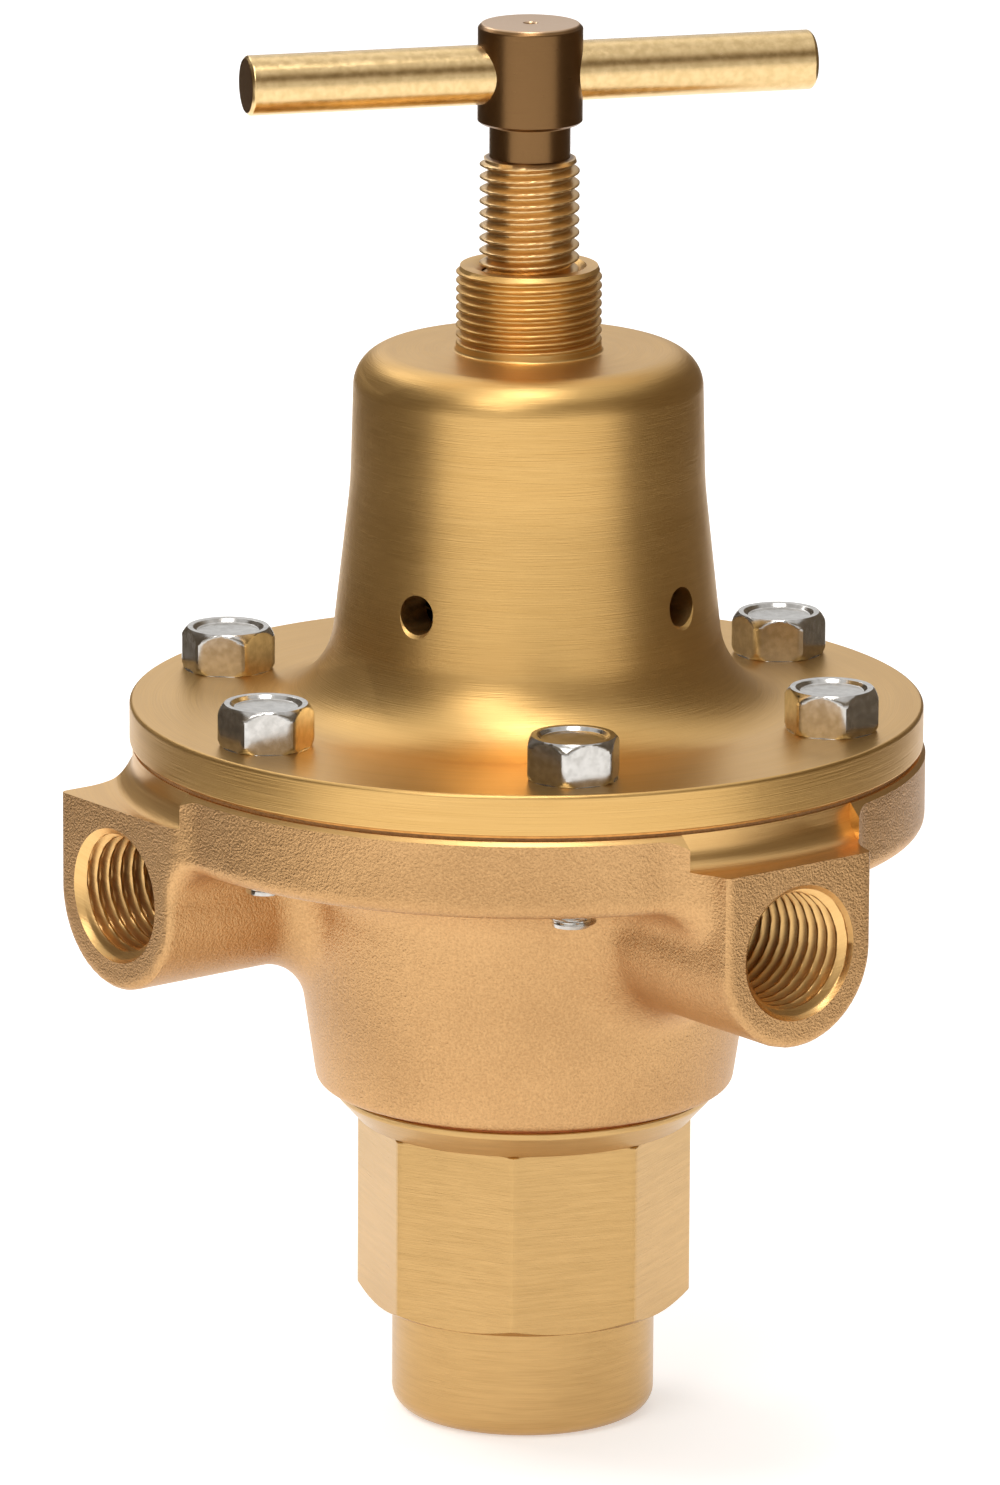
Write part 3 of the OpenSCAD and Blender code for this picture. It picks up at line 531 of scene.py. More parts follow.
def repeated(name, piece, places):
    """One mesh with a copy of a piece at each place, the corner numbers of each copy shifted past the points of
    those before it. The piece itself is deleted."""
    mesh = piece.data
    points = np.empty(len(mesh.vertices) * 3, np.float32)
    mesh.vertices.foreach_get("co", points)
    points = points.reshape(-1, 3) / MM
    corners = np.empty(len(mesh.loops), np.int32)
    mesh.loops.foreach_get("vertex_index", corners)
    lengths = np.empty(len(mesh.polygons), np.int32)
    mesh.polygons.foreach_get("loop_total", lengths)
    bpy.data.objects.remove(piece)
    copies = np.vstack([points @ place[:, :3].T + place[:, 3] for place in places])
    shifted = np.add.outer(np.arange(len(places)) * len(points), corners).ravel()
    return mesh_object(name, copies, shifted, np.tile(lengths, len(places)))


screw_places = [screw_place(a, flange_top, turn) for a, turn in zip(screw_angles, head_turns)]
one_screw = turned("screw", screw_profile, 96, shape=hex_head)
hex_screws = shade(repeated("hex_screws", one_screw, screw_places), 25.0)

# %% [markdown]
# The body is a casting: a tapering barrel, a thick flange and two port bosses whose section is a U, all run
# together with generous fillets. Such flowing unions are awkward to mesh by hand. Here the solid is written as
# a signed distance, negative inside: the larger of two distances keeps what two solids share, the smaller one
# joins them, and a quarter circle between the two gives the roundings and fillets.

# %% Body as a distance
body_z, body_top = body_low[2], body_high[2]
rim_r = body_high[1]
port_z = frame["record"]["mounts"][0]["pos_m"][2] / MM
outlet_x = frame["record"]["mounts"][1]["pos_m"][0] / MM
inlet_reach, outlet_reach = body_high[0], -body_low[1]
boss_r, boss_drop, boss_edge, boss_fillet = 9.2, 0.45, 0.7, 4.0
barrel_low_r, barrel_top_r, barrel_edge = 21.1, 25.1, 0.8
underside_z, flange_fillet, rim_edge = body_top - 8.0, 6.5, 1.5
barrel_slope = (barrel_top_r - barrel_low_r) / (underside_z - body_z)
spare = 1.5


def met_round(first, second, rounding):
    """What two solids share, with the edge between them rounded: outside both, the distance to the rounding's
    centre line, less the rounding."""
    corner = np.hypot(np.maximum(first + rounding, 0), np.maximum(second + rounding, 0))
    return np.minimum(np.maximum(first, second), -rounding) + corner


def joined_round(first, second, rounding):
    """Two solids in one, with a fillet between them: the same formula turned inside out."""
    return -met_round(-first, -second, rounding)


def boss_distance(along, aside, above):
    """A U section, round below its axis and straight-sided above, carried outwards along the port."""
    section = np.where(above < 0, np.hypot(aside, above), np.abs(aside)) - boss_r
    return np.maximum(section, -along)


def body_distance(x, y, z):
    """Barrel and flange as turned solids, the two bosses with their fillets, cut off at the port faces, and
    spare metal above the top."""
    radius = np.hypot(x, y)
    barrel = (radius - barrel_low_r - barrel_slope * (z - body_z)) / math.hypot(1, barrel_slope)
    barrel = met_round(barrel, body_z - z, barrel_edge)
    flange = met_round(radius - rim_r, underside_z - z, rim_edge)
    metal = joined_round(barrel, flange, flange_fillet)
    above = z - port_z + boss_drop
    metal = joined_round(metal, boss_distance(x, y, above), boss_fillet)
    metal = joined_round(metal, boss_distance(-y, x - outlet_x, above), boss_fillet)
    metal = met_round(met_round(metal, x - inlet_reach, boss_edge), -y - outlet_reach, boss_edge)
    return np.maximum(metal, z - body_top - spare)


boss_depth = -float(body_distance(inlet_reach - boss_r, 0.0, port_z))
print("the inlet's axis lies", round(boss_depth, 2), "mm below the skin of its boss")

# %% [markdown]
# Surface nets turn the distance into a mesh. Space is cut into small cubes. Every cube that the surface crosses
# gets one point, the mean of the crossings on its edges, and the four cubes round a crossed edge share a quad.
# The points are then pulled onto the surface along the slope of the distance, as in Newton's method. All of it
# works on whole arrays, so that a million cubes take a few seconds.

# %% Body skin
def slope_of(distance, points, step=0.002):
    """Central differences of a distance along the three axes."""
    ways = np.eye(3) * step
    return np.stack([(distance(*(points + w).T) - distance(*(points - w).T)) / (2 * step) for w in ways], -1)


def net_surface(name, distance, low, high, cell):
    """The surface where distance is 0: one point for each crossed cube and one quad for each crossed edge."""
    axes = [np.arange(a - 1.6 * cell, b + 1.6 * cell, cell) for a, b in zip(low, high)]
    value = distance(*np.meshgrid(*axes, indexing="ij", sparse=True))
    cubes = np.array(value.shape) - 1
    total, count = np.zeros((*cubes, 3)), np.zeros(cubes, int)
    crossings = []
    for axis in range(3):
        order = [axis, (axis + 1) % 3, (axis + 2) % 3]
        turned_value = value.transpose(order)
        first, second = turned_value[:-1], turned_value[1:]
        crossed = (first < 0) != (second < 0)
        part = np.where(crossed, first / np.where(crossed, first - second, 1), 0)
        here, number = total.transpose(order + [3]), count.transpose(order)
        wide, deep = number.shape[1:]
        for a, b in ((0, 0), (0, 1), (1, 0), (1, 1)):
            edge = (slice(None), slice(a, a + wide), slice(b, b + deep))
            here[..., order[0]] += part[edge]
            here[..., order[1]] += crossed[edge] * a
            here[..., order[2]] += crossed[edge] * b
            number += crossed[edge]
        crossings.append((order, crossed, first < 0))
    used = count > 0
    index = np.cumsum(used).reshape(used.shape) - 1
    points = (np.argwhere(used) + total[used] / count[used][:, None]) * cell + [axis[0] for axis in axes]
    quads = []
    for order, crossed, leaving in crossings:
        at = np.argwhere(crossed[:, 1:-1, 1:-1])
        near = at + [0, 1, 1]
        cube = index.transpose(order)
        ring = [cube[near[:, 0], near[:, 1] - a, near[:, 2] - b] for a, b in ((1, 1), (0, 1), (0, 0), (1, 0))]
        quad = np.stack(ring, -1)
        quads.append(np.where(leaving[tuple(near.T)][:, None], quad, quad[:, ::-1]))
    for _ in range(4):
        slope = slope_of(distance, points)
        steep = np.maximum((slope ** 2).sum(1, keepdims=True), 0.2)
        points = points - np.clip(distance(*points.T)[:, None] * slope / steep, -cell, cell)
    quads = np.concatenate(quads)
    return mesh_object(name, points, quads.ravel(), np.full(len(quads), 4))


casting = net_surface("casting", body_distance, body_low, [inlet_reach, rim_r, body_top + spare], 0.55)
print("casting skin:", len(casting.data.vertices), "points")

# %% [markdown]
# After casting, the body was machined. The rim was turned back above each boss, which left a flat boss top
# with a small fillet, and the ports were bored, countersunk and tapped with a tapered pipe thread. Each of
# those is a closed tool that is taken away from the skin. The pipe tap's tool carries the thread on its own
# grid.

# %% Machining the body
boss_top_z, rim_cut_r, rim_cut_fillet = port_z + 8.9, 39.7, 2.2
inlet_rim_sides, outlet_rim_sides = (-10.7, 10.7), (-30.0, 10.7)
pipe_pitch, pipe_thread_depth, pipe_depth = 1.411, 0.8, 14.0
pipe_major_r, mouth_r, passage_r, pipe_taper = 6.62, 6.85, 2.8, 0.5
window_along, window_above = (10.0, 70.0), (50.0, 90.0)
cap_seat_r, cap_seat_h, low_room_r, web_depth = 15.55, 11.4, 9.5, 9.5
nozzle_hole_r, chamber_r, chamber_depth = 5.55, 27.0, 6.0
riser_r, riser_y, facing_chamfer = 3.2, -18.0, 1.6
inlet_end, outlet_end = 5.0, 18.0


def rim_cutter(name, place, sides):
    """A turned ring over the boss top, kept only between two planes beside the boss."""
    outer_r, top = 60, body_top + 3
    ring = turned(name, rounded_profile([
        (rim_cut_r, top), (rim_cut_r, boss_top_z, rim_cut_fillet), (outer_r, boss_top_z), (outer_r, top),
    ]), 480)
    along, aside, above = np.meshgrid(window_along, sides, window_above, indexing="ij")
    block = np.stack([along, aside, above], -1)[:, [0, 1, 1, 0], [0, 0, 1, 1]]
    block = block @ place[:, :3].T + place[:, 3]
    window = ring_surface(name + "_window", block, block.mean(1))
    return cut(ring, window, operation="INTERSECT")


def pipe_tap(name, place, reach, end):
    """A tool along +Z of its place: mouth, countersink, tapered thread and the drilled passage to end."""
    bottom = reach - pipe_depth
    drill_r = pipe_major_r - pipe_thread_depth - 0.6
    thread_line = np.array([(pipe_major_r - pipe_taper, bottom + 0.1), (pipe_major_r, reach - 0.55)])
    line = np.vstack([
        [(0, end), (passage_r, end), (passage_r, bottom - 1.2), (drill_r, bottom)],
        subdivided(thread_line, pipe_pitch / 16),
        [(mouth_r, reach), (mouth_r + 1, reach + 1), (0, reach + 1)],
    ])

    def tapped(radius, height, angle):
        """The tap's radius less the depth of thread between its crests, fading out at the mouth."""
        turns = height / pipe_pitch + angle / (2 * np.pi)
        on_thread = (height > bottom + 0.05) & (height < reach - 0.5)
        depth = pipe_thread_depth * np.clip((reach - 0.2 - height) / 0.8, 0, 1)
        return radius - np.where(on_thread, depth * (1 - thread_height(turns, 0.1, 0.18)), 0)

    return turned(name, line, 120, shape=tapped, place=place)


inlet_place = np.column_stack([[0, 1, 0], [0, 0, 1], [1, 0, 0], [0, 0, port_z]]).astype(float)
outlet_place = np.column_stack([[1, 0, 0], [0, 0, 1], [0, -1, 0], [outlet_x, 0, port_z]]).astype(float)
inlet_side = np.array([[1, 0, 0, 0], [0, 1, 0, 0], [0, 0, 1, 0]], float)
outlet_side = np.array([[0, 1, 0, outlet_x], [-1, 0, 0, 0], [0, 0, 1, 0]], float)
seat_top, web_z, chamber_z = body_z + cap_seat_h, body_top - web_depth, body_top - chamber_depth
cavity = turned("cavity", np.array([
    (0, body_z - 1), (cap_seat_r, body_z - 1), (cap_seat_r, seat_top), (low_room_r, seat_top),
    (low_room_r, web_z), (nozzle_hole_r, web_z), (nozzle_hole_r, chamber_z), (chamber_r, chamber_z),
    (chamber_r, body_top + 1), (0, body_top + 1),
]), 128)
riser = pin("riser", riser_r, port_z, chamber_z + 1, place_along([outlet_x, riser_y, 0], [0, 0, 1]))
body_holes = [
    pin(f"body_hole_{i}", shank_r + 0.05, underside_z - 8, body_top + 1, screw_place(a))
    for i, a in enumerate(screw_angles)
]
facing_in_r, facing_out_r = rim_r - 0.4, rim_r - 0.4 + facing_chamfer
facing = turned("facing", np.array([
    (0, body_top), (facing_in_r, body_top), (facing_out_r, body_top - facing_chamfer),
    (facing_out_r, body_top + 4), (0, body_top + 4),
]), 360)
rim_tools = [
    rim_cutter("inlet_rim", inlet_side, inlet_rim_sides),
    rim_cutter("outlet_rim", outlet_side, outlet_rim_sides),
]
port_tools = [
    pipe_tap("inlet_tap", inlet_place, inlet_reach, inlet_end),
    pipe_tap("outlet_tap", outlet_place, outlet_reach, outlet_end),
]
cut(casting, facing, *rim_tools, *port_tools, cavity, riser, *body_holes, slot=1)
shade(casting, 30.0)

# %% [markdown]
# Two coil springs work inside. A spring is a circle carried along a helix. The end turns lie closed, so the
# pitch eases to nothing there, and the ends are ground flat, which is the same as limiting the height of every
# point to the space the spring has.

# %% Springs
def coil(name, node, coil_r, wire_r, turns, sides=20, steps=56):
    """A wire of radius wire_r round the helix (R cos t, R sin t, z(t)), where z stands still on the closed end
    turns and rises evenly between. Heights are clipped to the node's own, which grinds the ends flat."""
    low, high = (corner[2] for corner in span(node))
    share = np.linspace(0, 1, int(turns * steps))
    ease = np.clip((share * turns - 0.8) / (turns - 1.6), 0, 1)
    rise = low + wire_r * 0.55 + (high - low - wire_r * 1.1) * ease
    angle = share * turns * 2 * np.pi
    radial = np.stack([np.cos(angle), np.sin(angle), np.zeros_like(angle)], -1)
    centre = radial * coil_r + np.stack([0 * rise, 0 * rise, rise], -1)
    tangent = np.gradient(centre, axis=0)
    tangent = tangent / np.linalg.norm(tangent, axis=1, keepdims=True)
    across = np.cross(tangent, radial)
    turn = np.linspace(0, 2 * np.pi, sides, endpoint=False)[None, :, None]
    rings = centre[:, None] + wire_r * (np.cos(turn) * radial[:, None] + np.sin(turn) * across[:, None])
    rings[..., 2] = np.clip(rings[..., 2], low, high)
    return shade(ring_surface(name, rings, rings[[0, -1]].mean(1)), 50.0)


range_coil = coil("range_coil", "range_spring", 11.4, 1.4, 6.5)
poppet_coil = coil("poppet_coil", "poppet_spring", 4.6, 0.5, 11)

# %% [markdown]
# The diaphragm is a thin sheet, clamped at its edge and carried down at its centre. The disc is made of twelve
# equal wedges that meet along its radii.

# %% Diaphragm
sheet_top = span("diaphragm")[1][2]
sheet_t, sheet_hole_r, sheet_r = 0.3, 2.1, 39.5
wave_in_r, wave_out_r, wave_depth, wedges = 19.0, 26.5, 1.0, 12
sheet_radii = np.concatenate([
    np.linspace(sheet_hole_r, wave_in_r, 9)[:-1],
    np.linspace(wave_in_r, wave_out_r, 17)[:-1],
    np.linspace(wave_out_r, sheet_r, 12),
])
sheet_share = np.clip((sheet_radii - wave_in_r) / (wave_out_r - wave_in_r), 0, 1)
sheet_wave = wave_depth * np.sin(np.pi * sheet_share)
sheet_upper = np.column_stack([sheet_radii, sheet_top - sheet_wave])
sheet_section = np.vstack([sheet_upper, (sheet_upper - [0, sheet_t])[::-1]])


def wedge(name, middle, rows=9):
    """A wedge of the disc: point (t, k) is (r(k) cos t, r(k) sin t, z(k)) for the loop k of the sheet's
    section, flat at the clamp and the centre with a half sine between. A strip of quads closes each end."""
    angles = middle + np.linspace(-0.5, 0.5, rows)[:, None] * (2 * np.pi / wedges)
    radii, heights = sheet_section.T
    rings = np.stack(np.broadcast_arrays(np.cos(angles) * radii, np.sin(angles) * radii, heights), -1)
    sides = len(sheet_section)
    near = np.arange(sides // 2 - 1)
    strip = np.stack([near, near + 1, sides - 2 - near, sides - 1 - near], -1)
    corners = np.vstack([ring_faces(rows, sides, False), strip[:, ::-1], strip + (rows - 1) * sides])
    return mesh_object(name, rings.reshape(-1, 3), corners.ravel(), np.full(len(corners), 4))


sheet_wedges = []
for number in range(wedges):
    middle = number * 2 * np.pi / wedges
    piece = wedge(f"diaphragm_{number + 1}", middle)
    outward = np.array([math.cos(middle), math.sin(middle), 0.0])
    if np.abs(screw_angles - middle).min() < 0.01:
        hole_place = place_along(outward * screw_circle_r, [0, 0, 1])
        cut(piece, pin("sheet_hole", screw_hole_r, sheet_top - 2, sheet_top + 2, hole_place, 48))
    sheet_wedges.append((shade(piece), outward))
print("diaphragm wedges:", len(sheet_wedges), "of", len(sheet_section), "points in section")

# %% [markdown]
# Now the pieces are tied to the frame. Each one takes the place of its CAD node, rides on that node's body and
# names the material slot it belongs to. One end of each spring stands still; here both springs ride on the
# housing with meshes of their own, and the wedges of the diaphragm are baked where they stand.

# %% Ride, replace and slot
stands_for = [
    (bell, "bonnet", "housing", "turned_brass"),
    (cap, "bottom_cap", "housing", "turned_brass"),
    (casting, "body", "housing", "cast_brass"),
    (hex_screws, "flange_screws", "housing", "screw_steel"),
    (spindle, "adjusting_screw", "handle", "spindle_brass"),
    (bar, "tee_bar", "handle", "bar_brass"),
    (range_coil, "range_spring", "housing", "spring_steel"),
    (poppet_coil, "poppet_spring", "housing", "spring_steel"),
]
for piece, node, body, slot in stands_for:
    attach(piece, body)
    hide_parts(node)
for piece, outward in sheet_wedges:
    centre_edge, clamp_edge = tuple(outward * wave_in_r * MM), tuple(outward * wave_out_r * MM)
    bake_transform(piece)
    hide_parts("diaphragm")
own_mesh(range_coil)
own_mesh(poppet_coil)

# %% [markdown]
# Shaders are written as arithmetic. A small class wraps one socket, and adding or multiplying two of them puts
# a Math node between. Any other node comes from one method that sets the node's options first and then its
# sockets, from numbers or from other wrapped sockets.

# %% Shader arithmetic
class Wire:
    """A socket of a node tree that can be used in sums and products."""

    def __init__(self, tree, socket=None):
        self.tree, self.socket = tree, socket

    def node(self, kind, settings=None, sockets=None, output=0):
        """Adds a node of this kind, sets its options, then its input sockets, and wraps one output."""
        made = self.tree.nodes.new(kind)
        for option, value in (settings or {}).items():
            setattr(made, option, value)
        for name, value in (sockets or {}).items():
            if isinstance(value, Wire):
                self.tree.links.new(value.socket, made.inputs[name])
            else:
                made.inputs[name].default_value = value
        return Wire(self.tree, made.outputs[output] if made.outputs else None)

    def math(self, operation, first, second=0.0):
        return self.node("ShaderNodeMath", {"operation": operation}, {0: first, 1: second})

    def __add__(self, other):
        return self.math("ADD", self, other)

    def __sub__(self, other):
        return self.math("SUBTRACT", self, other)

    def __rsub__(self, other):
        return self.math("SUBTRACT", other, self)

    def __mul__(self, other):
        return self.math("MULTIPLY", self, other)

    def __truediv__(self, other):
        return self.math("DIVIDE", self, other)

    __radd__, __rmul__ = __add__, __mul__

    def ramp(self, low, high):
        """0 below low, 1 above high and a smooth rise between."""
        return self.node("ShaderNodeMapRange", {"interpolation_type": "SMOOTHSTEP"}, {0: self, 1: low, 2: high})

    def tint(self, first, second):
        """A colour that goes from first to second as this value goes from 0 to 1."""
        colours = {0: self, 6: first, 7: second}
        return self.node("ShaderNodeMix", {"data_type": "RGBA"}, colours, 2)

    def noise(self, vector, scale, detail=2.0, roughness=0.5):
        """Fractal noise about 0.5 on a vector."""
        return self.node("ShaderNodeTexNoise", None, {
            "Vector": vector, "Scale": scale, "Detail": detail, "Roughness": roughness})

    def vector(self, x, y, z):
        return self.node("ShaderNodeCombineXYZ", None, {0: x, 1: y, 2: z})

    def part(self, axis):
        """One coordinate of this vector."""
        return self.node("ShaderNodeSeparateXYZ", None, {0: self}, axis)

    def along(self, way):
        """How far this vector goes along a way."""
        product = {"operation": "DOT_PRODUCT"}
        return self.node("ShaderNodeVectorMath", product, {0: self, 1: tuple(way)}, "Value")


def rgb(red, green, blue):
    return (red, green, blue, 1.0)


def finish(name, paint, **fixed):
    """A material: paint(wire, place) returns the links of the shader's varying sockets, and fixed holds those
    that are the same all over."""
    material = bpy.data.materials.new(name)
    material.use_nodes = True
    tree = material.node_tree
    shader = tree.nodes["Principled BSDF"]
    wire = Wire(tree)
    place = wire.node("ShaderNodeTexCoord", output="Object")
    for socket, value in fixed.items():
        shader.inputs[socket.replace("_", " ")].default_value = value
    for socket, value in paint(wire, place).items():
        tree.links.new(value.socket, shader.inputs[socket])
    return material


# %% [markdown]
# Lathe work leaves fine rings, so the turned brass is patterned by where a point lies on the profile and hardly
# by its angle. The direction from the axis is used instead of the angle itself, because an angle jumps where
# it closes and would leave a seam. The rings are about a pixel wide, so they hardly show as lines: their bump
# spreads each reflection up and down, which is what gives brushed brass its soft upright bands.

# %% Turned brass
def round_axis(wire, place):
    """Splits a place into its direction from the axis, its distance from it and its height, in metres."""
    x, y, z = (place.part(axis) for axis in range(3))
    distance = wire.math("SQRT", x * x + y * y + 1e-12)
    return x / distance, y / distance, distance, z


def turned_paint(light, dark, gloss, relief, ring_size=0.11, slant=0.618, zone=None):
    """Paint of a turned surface: rings of ring_size millimetres, wider bands, slow clouds, and gloss that
    follows the rings. zone(wire, place, colour) may give one part of the piece another colour."""
    def paint(wire, place):
        east, north, distance, height = round_axis(wire, place)
        along = (height - distance * slant) * (1 / (ring_size * MM))
        rings = wire.noise(wire.vector(east * 3.0, north * 3.0, along), 1.0, 2.0, 0.6)
        bands = wire.noise(wire.vector(east * 2.0, north * 2.0, along * 0.16), 1.0, 2.0, 0.5)
        clouds = wire.noise(place, 40.0, 2.0)
        colour = (rings * 0.4 + bands * 0.3 + clouds * 0.3).ramp(0.28, 0.72).tint(dark, light)
        if zone:
            colour = zone(wire, place, colour)
        bump = wire.node("ShaderNodeBump", None, {"Strength": relief, "Distance": 0.06 * MM, "Height": rings})
        return {"Base Color": colour, "Roughness": gloss + rings * 0.1 + clouds * 0.06, "Normal": bump}
    return paint


turned_brass = finish("turned_brass", turned_paint(
    rgb(0.75, 0.475, 0.175), rgb(0.66, 0.40, 0.135), 0.29, 0.4), Metallic=1.0)
milled_brass = finish("milled_brass", turned_paint(
    rgb(0.63, 0.40, 0.165), rgb(0.5, 0.31, 0.12), 0.22, 0.4, 0.075, 0.0), Metallic=1.0)
machined_brass = finish("machined_brass", turned_paint(
    rgb(0.84, 0.54, 0.22), rgb(0.74, 0.45, 0.17), 0.28, 0.3, 0.2), Metallic=1.0)
print("turned finishes:", [material.name for material in (turned_brass, milled_brass, machined_brass)])

# %% [markdown]
# The casting was blasted with grit, which leaves a fine even grain with no direction. Two sizes of noise make
# the grain. The faces that were machined afterwards carry a second material, in the slot that the cutting tools
# left there.

# %% Blasted casting
def cast_paint(wire, place):
    """Paint of the casting: grain and lumps in the relief, grain and slow clouds in the colour."""
    grain = wire.noise(place, 4000.0, 2.0, 0.6)
    lumps = wire.noise(place, 800.0, 2.0)
    clouds = wire.noise(place, 60.0, 2.0)
    height = grain * 0.65 + lumps * 0.35
    colour = (grain * 0.6 + clouds * 0.4).ramp(0.28, 0.72).tint(rgb(0.46, 0.26, 0.11), rgb(0.68, 0.41, 0.185))
    bump = wire.node("ShaderNodeBump", None, {"Strength": 0.8, "Distance": 0.18 * MM, "Height": height})
    return {"Base Color": colour, "Roughness": 0.32 + grain * 0.16, "Normal": bump}


cast_brass = finish("cast_brass", cast_paint, Metallic=1.0)
print("casting finish:", len(cast_brass.node_tree.nodes), "nodes")

# %% [markdown]
# The spindle's head is a darker bronze than its bright thread, and the end faces of the drawn bar carry painted
# shade, a darker brown. Both are told apart by place: a height on the spindle and a distance along the bar. The
# small parts get two tones in clouds and a gloss that follows them.

# %% Finishes of the other pieces
def grained_paint(light, dark, gloss, size=0.8, zone=None):
    """Paint of a small part: two tones in clouds of a size in millimetres, and a gloss that follows them."""
    def paint(wire, place):
        clouds = wire.noise(place, 1 / (size * MM), 3.0)
        colour = clouds.ramp(0.3, 0.7).tint(dark, light)
        return {"Base Color": zone(wire, place, colour) if zone else colour, "Roughness": gloss + clouds * 0.15}
    return paint


def dark_head(wire, place, colour):
    """The colour below the undercut, a dark bronze above, and a paler faced top."""
    height = place.part(2)
    dark = height.ramp(undercut_low * MM, (undercut_low + 0.1) * MM).tint(colour, rgb(0.21, 0.113, 0.045))
    return height.ramp((head_top - 0.2) * MM, (head_top - 0.05) * MM).tint(dark, rgb(0.62, 0.42, 0.26))


def painted_shade_on_ends(wire, place, colour):
    """The colour along the bar, and painted shade, a darker brown, on its end faces."""
    reach = wire.math("ABSOLUTE", place.along(bar_axis))
    # painted shade: the bar's end faces are darkened to a brown
    return reach.ramp((bar_half - 0.06) * MM, (bar_half - 0.02) * MM).tint(colour, rgb(0.3, 0.17, 0.075))


metal_paints = {
    "spindle_brass": turned_paint(rgb(0.76, 0.52, 0.25), rgb(0.66, 0.44, 0.2), 0.22, 0.2, zone=dark_head),
    "bar_brass": grained_paint(rgb(0.84, 0.61, 0.31), rgb(0.72, 0.51, 0.24), 0.16, zone=painted_shade_on_ends),
    "inner_brass": turned_paint(rgb(0.80, 0.53, 0.21), rgb(0.66, 0.41, 0.15), 0.22, 0.3),
    "screw_steel": grained_paint(rgb(0.62, 0.60, 0.57), rgb(0.48, 0.46, 0.43), 0.1),
    "spring_steel": grained_paint(rgb(0.42, 0.42, 0.44), rgb(0.30, 0.30, 0.32), 0.25),
    "plain_steel": turned_paint(rgb(0.62, 0.62, 0.63), rgb(0.5, 0.5, 0.51), 0.22, 0.3),
    "bronze_sheet": grained_paint(rgb(0.78, 0.38, 0.11), rgb(0.62, 0.29, 0.08), 0.35),
    "copper_ring": grained_paint(rgb(0.80, 0.40, 0.24), rgb(0.66, 0.31, 0.18), 0.25),
}
soft_paints = {
    "seat_plastic": grained_paint(rgb(0.80, 0.79, 0.74), rgb(0.72, 0.71, 0.66), 0.45),
    "fibre": grained_paint(rgb(0.42, 0.21, 0.07), rgb(0.3, 0.15, 0.05), 0.7, 0.3),
}
finishes = {"cast_brass": cast_brass, "turned_brass": turned_brass}
finishes |= {name: finish(name, paint, Metallic=1.0) for name, paint in metal_paints.items()}
finishes |= {name: finish(name, paint) for name, paint in soft_paints.items()}
slot_of_node = {
    "cap_seal": "copper_ring", "poppet_guide": "inner_brass", "poppet": "inner_brass",
    "seat_disc": "seat_plastic", "disc_retainer": "inner_brass", "seat_nozzle": "inner_brass",
    "nozzle_gasket": "copper_ring", "diaphragm_gasket": "fibre", "diaphragm_washer": "plain_steel",
    "pusher": "inner_brass", "diaphragm_plate": "plain_steel", "diaphragm_nut": "plain_steel",
    "spring_button": "plain_steel",
}
second_finish = {"body": machined_brass}
own_finish = {"bottom_cap": milled_brass}
for piece, outward in sheet_wedges:
    piece.data.materials.clear()
    piece.data.materials.append(finishes["bronze_sheet"])
for piece, node, body, slot in stands_for:
    chosen = [own_finish.get(node, finishes[slot])] + ([second_finish[node]] if node in second_finish else [])
    faces = np.empty(len(piece.data.polygons), np.int32)
    piece.data.polygons.foreach_get("material_index", faces)
    piece.data.materials.clear()
    for material in chosen:
        piece.data.materials.append(material)
    piece.data.polygons.foreach_set("material_index", np.minimum(faces, len(chosen) - 1))
for node, slot in slot_of_node.items():
    held = frame["nodes"][node]
    held.data.materials.clear()
    held.data.materials.append(finishes[slot])
cast_faces = np.empty(len(casting.data.polygons), np.int32)
casting.data.polygons.foreach_get("material_index", cast_faces)
print("machined faces of the casting:", int((cast_faces == 1).sum()), "of", len(cast_faces))

# %% [markdown]
# Metal shows its surroundings, so the studio is built around it: a bright front where the camera stands, a
# light ceiling and wall behind, and two dark cards at the sides, as a photographer sets them up to give bright
# metal its dark edges. The camera doesn't see the cards. The floor is white, and what its own light lacks to
# full white is added for camera and mirror rays alone, so that it keeps the shadow and throws no extra light.

# %% Floor, cards and world
def staged(name, corners, material):
    """A flat quad of the studio, which isn't part of the valve."""
    mesh = bpy.data.meshes.new(name)
    mesh.from_pydata([tuple(corner) for corner in corners], [], [(0, 1, 2, 3)])
    mesh.materials.append(material)
    piece = bpy.data.objects.new(name, mesh)
    bpy.context.scene.collection.objects.link(piece)
    return piece


floor_half, floor_lift = 6.0, 0.46
card_aside, card_along, card_h = 0.2, (0.12, -0.9), np.array([0, 0, 0.3])


def floor_paint(wire, place):
    """The light that the floor lacks to full white, for camera, mirror and glass rays alone."""
    kinds = ("Camera", "Glossy", "Transmission")
    camera_ray, glossy_ray, glass_ray = (wire.node("ShaderNodeLightPath", output=f"Is {k} Ray") for k in kinds)
    lift = (camera_ray + glossy_ray + glass_ray) * floor_lift
    return {"Emission Color": lift.tint(rgb(0, 0, 0), rgb(1, 1, 1))}


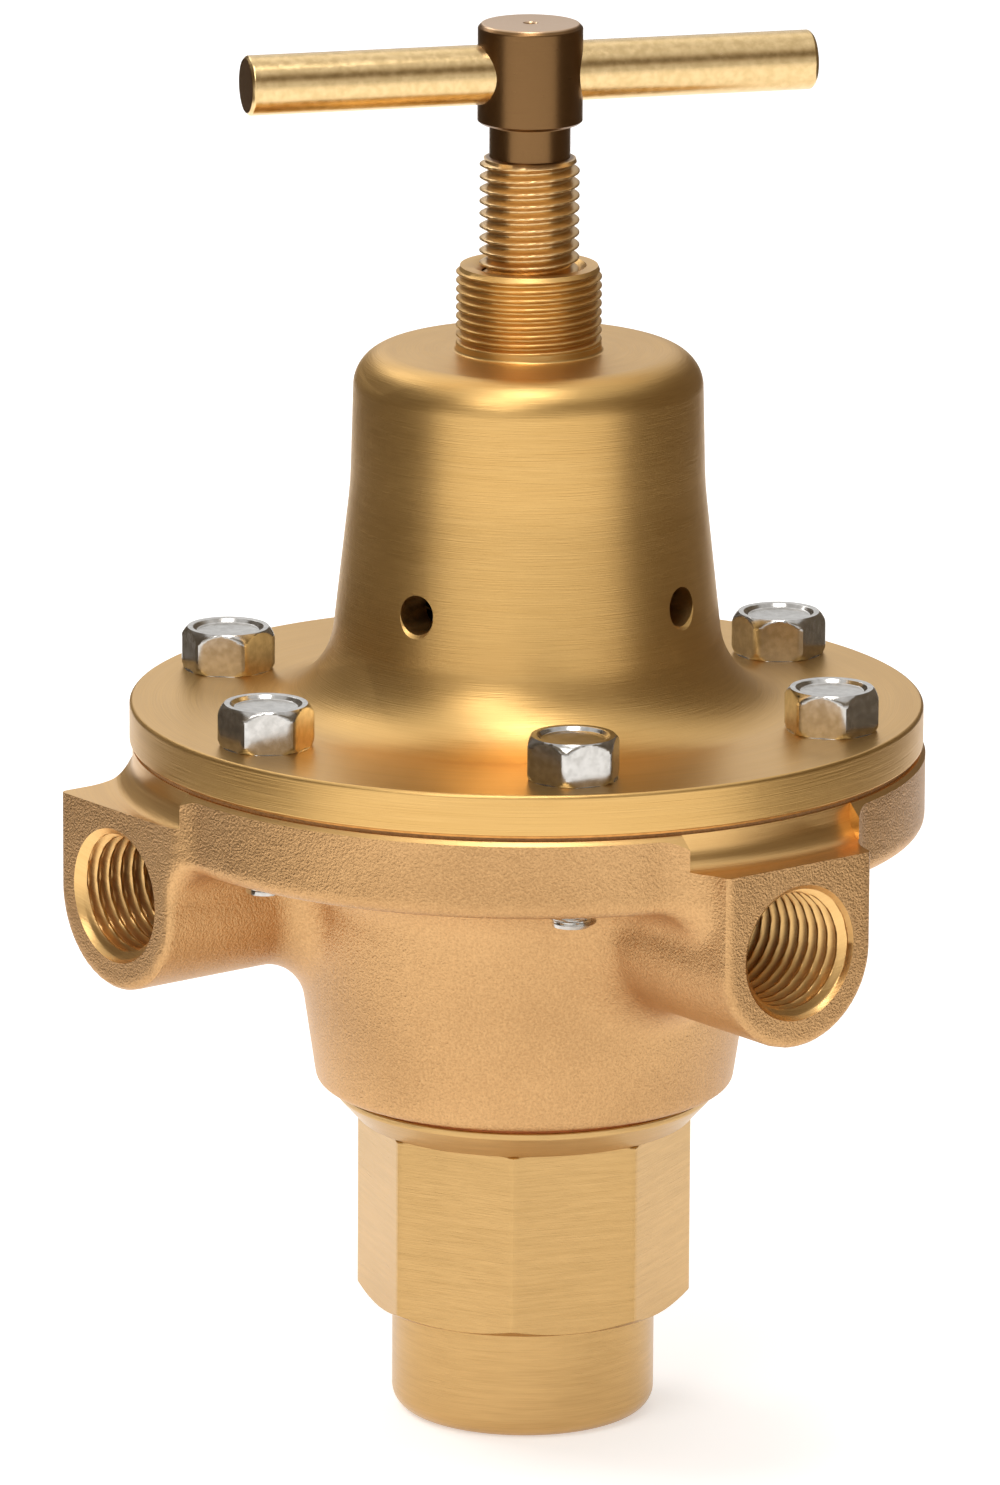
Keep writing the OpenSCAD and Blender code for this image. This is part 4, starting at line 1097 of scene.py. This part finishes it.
white_floor = finish(
    "floor", floor_paint, Base_Color=rgb(0.9, 0.9, 0.9), Roughness=1.0, Specular_IOR_Level=0.0,
    Emission_Strength=1.0)
staged("floor", floor_half * np.array([(-1, -1, 0), (1, -1, 0), (1, 1, 0), (-1, 1, 0)]), white_floor)
dark_card = finish("dark_card", grained_paint(rgb(0.16, 0.125, 0.085), rgb(0.13, 0.10, 0.07), 0.9, 20.0))
for side, name in ((-1, "card_left"), (1, "card_right")):
    near, far = (level_right * side * card_aside - level_forward * along for along in card_along)
    card = staged(name, [near, far, far + card_h, near + card_h], dark_card)
    card.visible_camera = card.visible_shadow = card.visible_diffuse = False

world = bpy.data.worlds.new("studio")
bpy.context.scene.world = world
world.use_nodes = True
sky = Wire(world.node_tree)
ray = sky.node("ShaderNodeTexCoord", output="Generated")
front, leftward, overhead = ray.along(-level_forward), ray.along(-level_right), ray.along((0, 0, 1))
behind = (0 - front).ramp(0.05, 0.8) * overhead.ramp(0.0, 0.2)
before = front.ramp(0.2, 1.0) * (1 - overhead.ramp(0.2, 0.5))
ceiling = overhead.ramp(0.55, 0.85)
level = 0.2 + before * 0.6 + behind * (0.64 + leftward * 0.7) + ceiling * 0.55
warmth = level.ramp(0.2, 0.8).tint(rgb(1.0, 0.82, 0.6), rgb(1, 1, 1))
background = world.node_tree.nodes["Background"]
world.node_tree.links.new(warmth.socket, background.inputs["Color"])
world.node_tree.links.new(level.socket, background.inputs["Strength"])
bpy.context.scene.view_settings.view_transform = "Standard"
print("studio: floor, two cards and a world of", len(world.node_tree.nodes), "nodes")

# %% [markdown]
# Three square lamps add the highlights: one beside the camera, one overhead for the bar and the flange, and one
# behind to the left that draws the bright edge. They are large for their distance, so the shadow stays soft.

# %% Lamps
def lamp(name, forth, aside, height, size, watts):
    """A square soft lamp that faces the aim point from forth, aside and height metres away from it."""
    data = bpy.data.lights.new(name, "AREA")
    data.size, data.energy = size, watts
    made = bpy.data.objects.new(name, data)
    back = level_forward * forth + level_right * aside + np.array([0, 0, height])
    made.matrix_world = Matrix(place_along(aim_point + back, back).tolist() + [[0, 0, 0, 1]])
    bpy.context.scene.collection.objects.link(made)


lamp("key", -0.7, -0.3, 0.75, size=0.5, watts=2.5)
lamp("top", -0.2, 0.0, 0.95, size=0.3, watts=2.0)
lamp("rim", 0.55, -0.75, 0.5, size=0.6, watts=3.0)
print("lamps:", [light.name for light in bpy.data.lights])
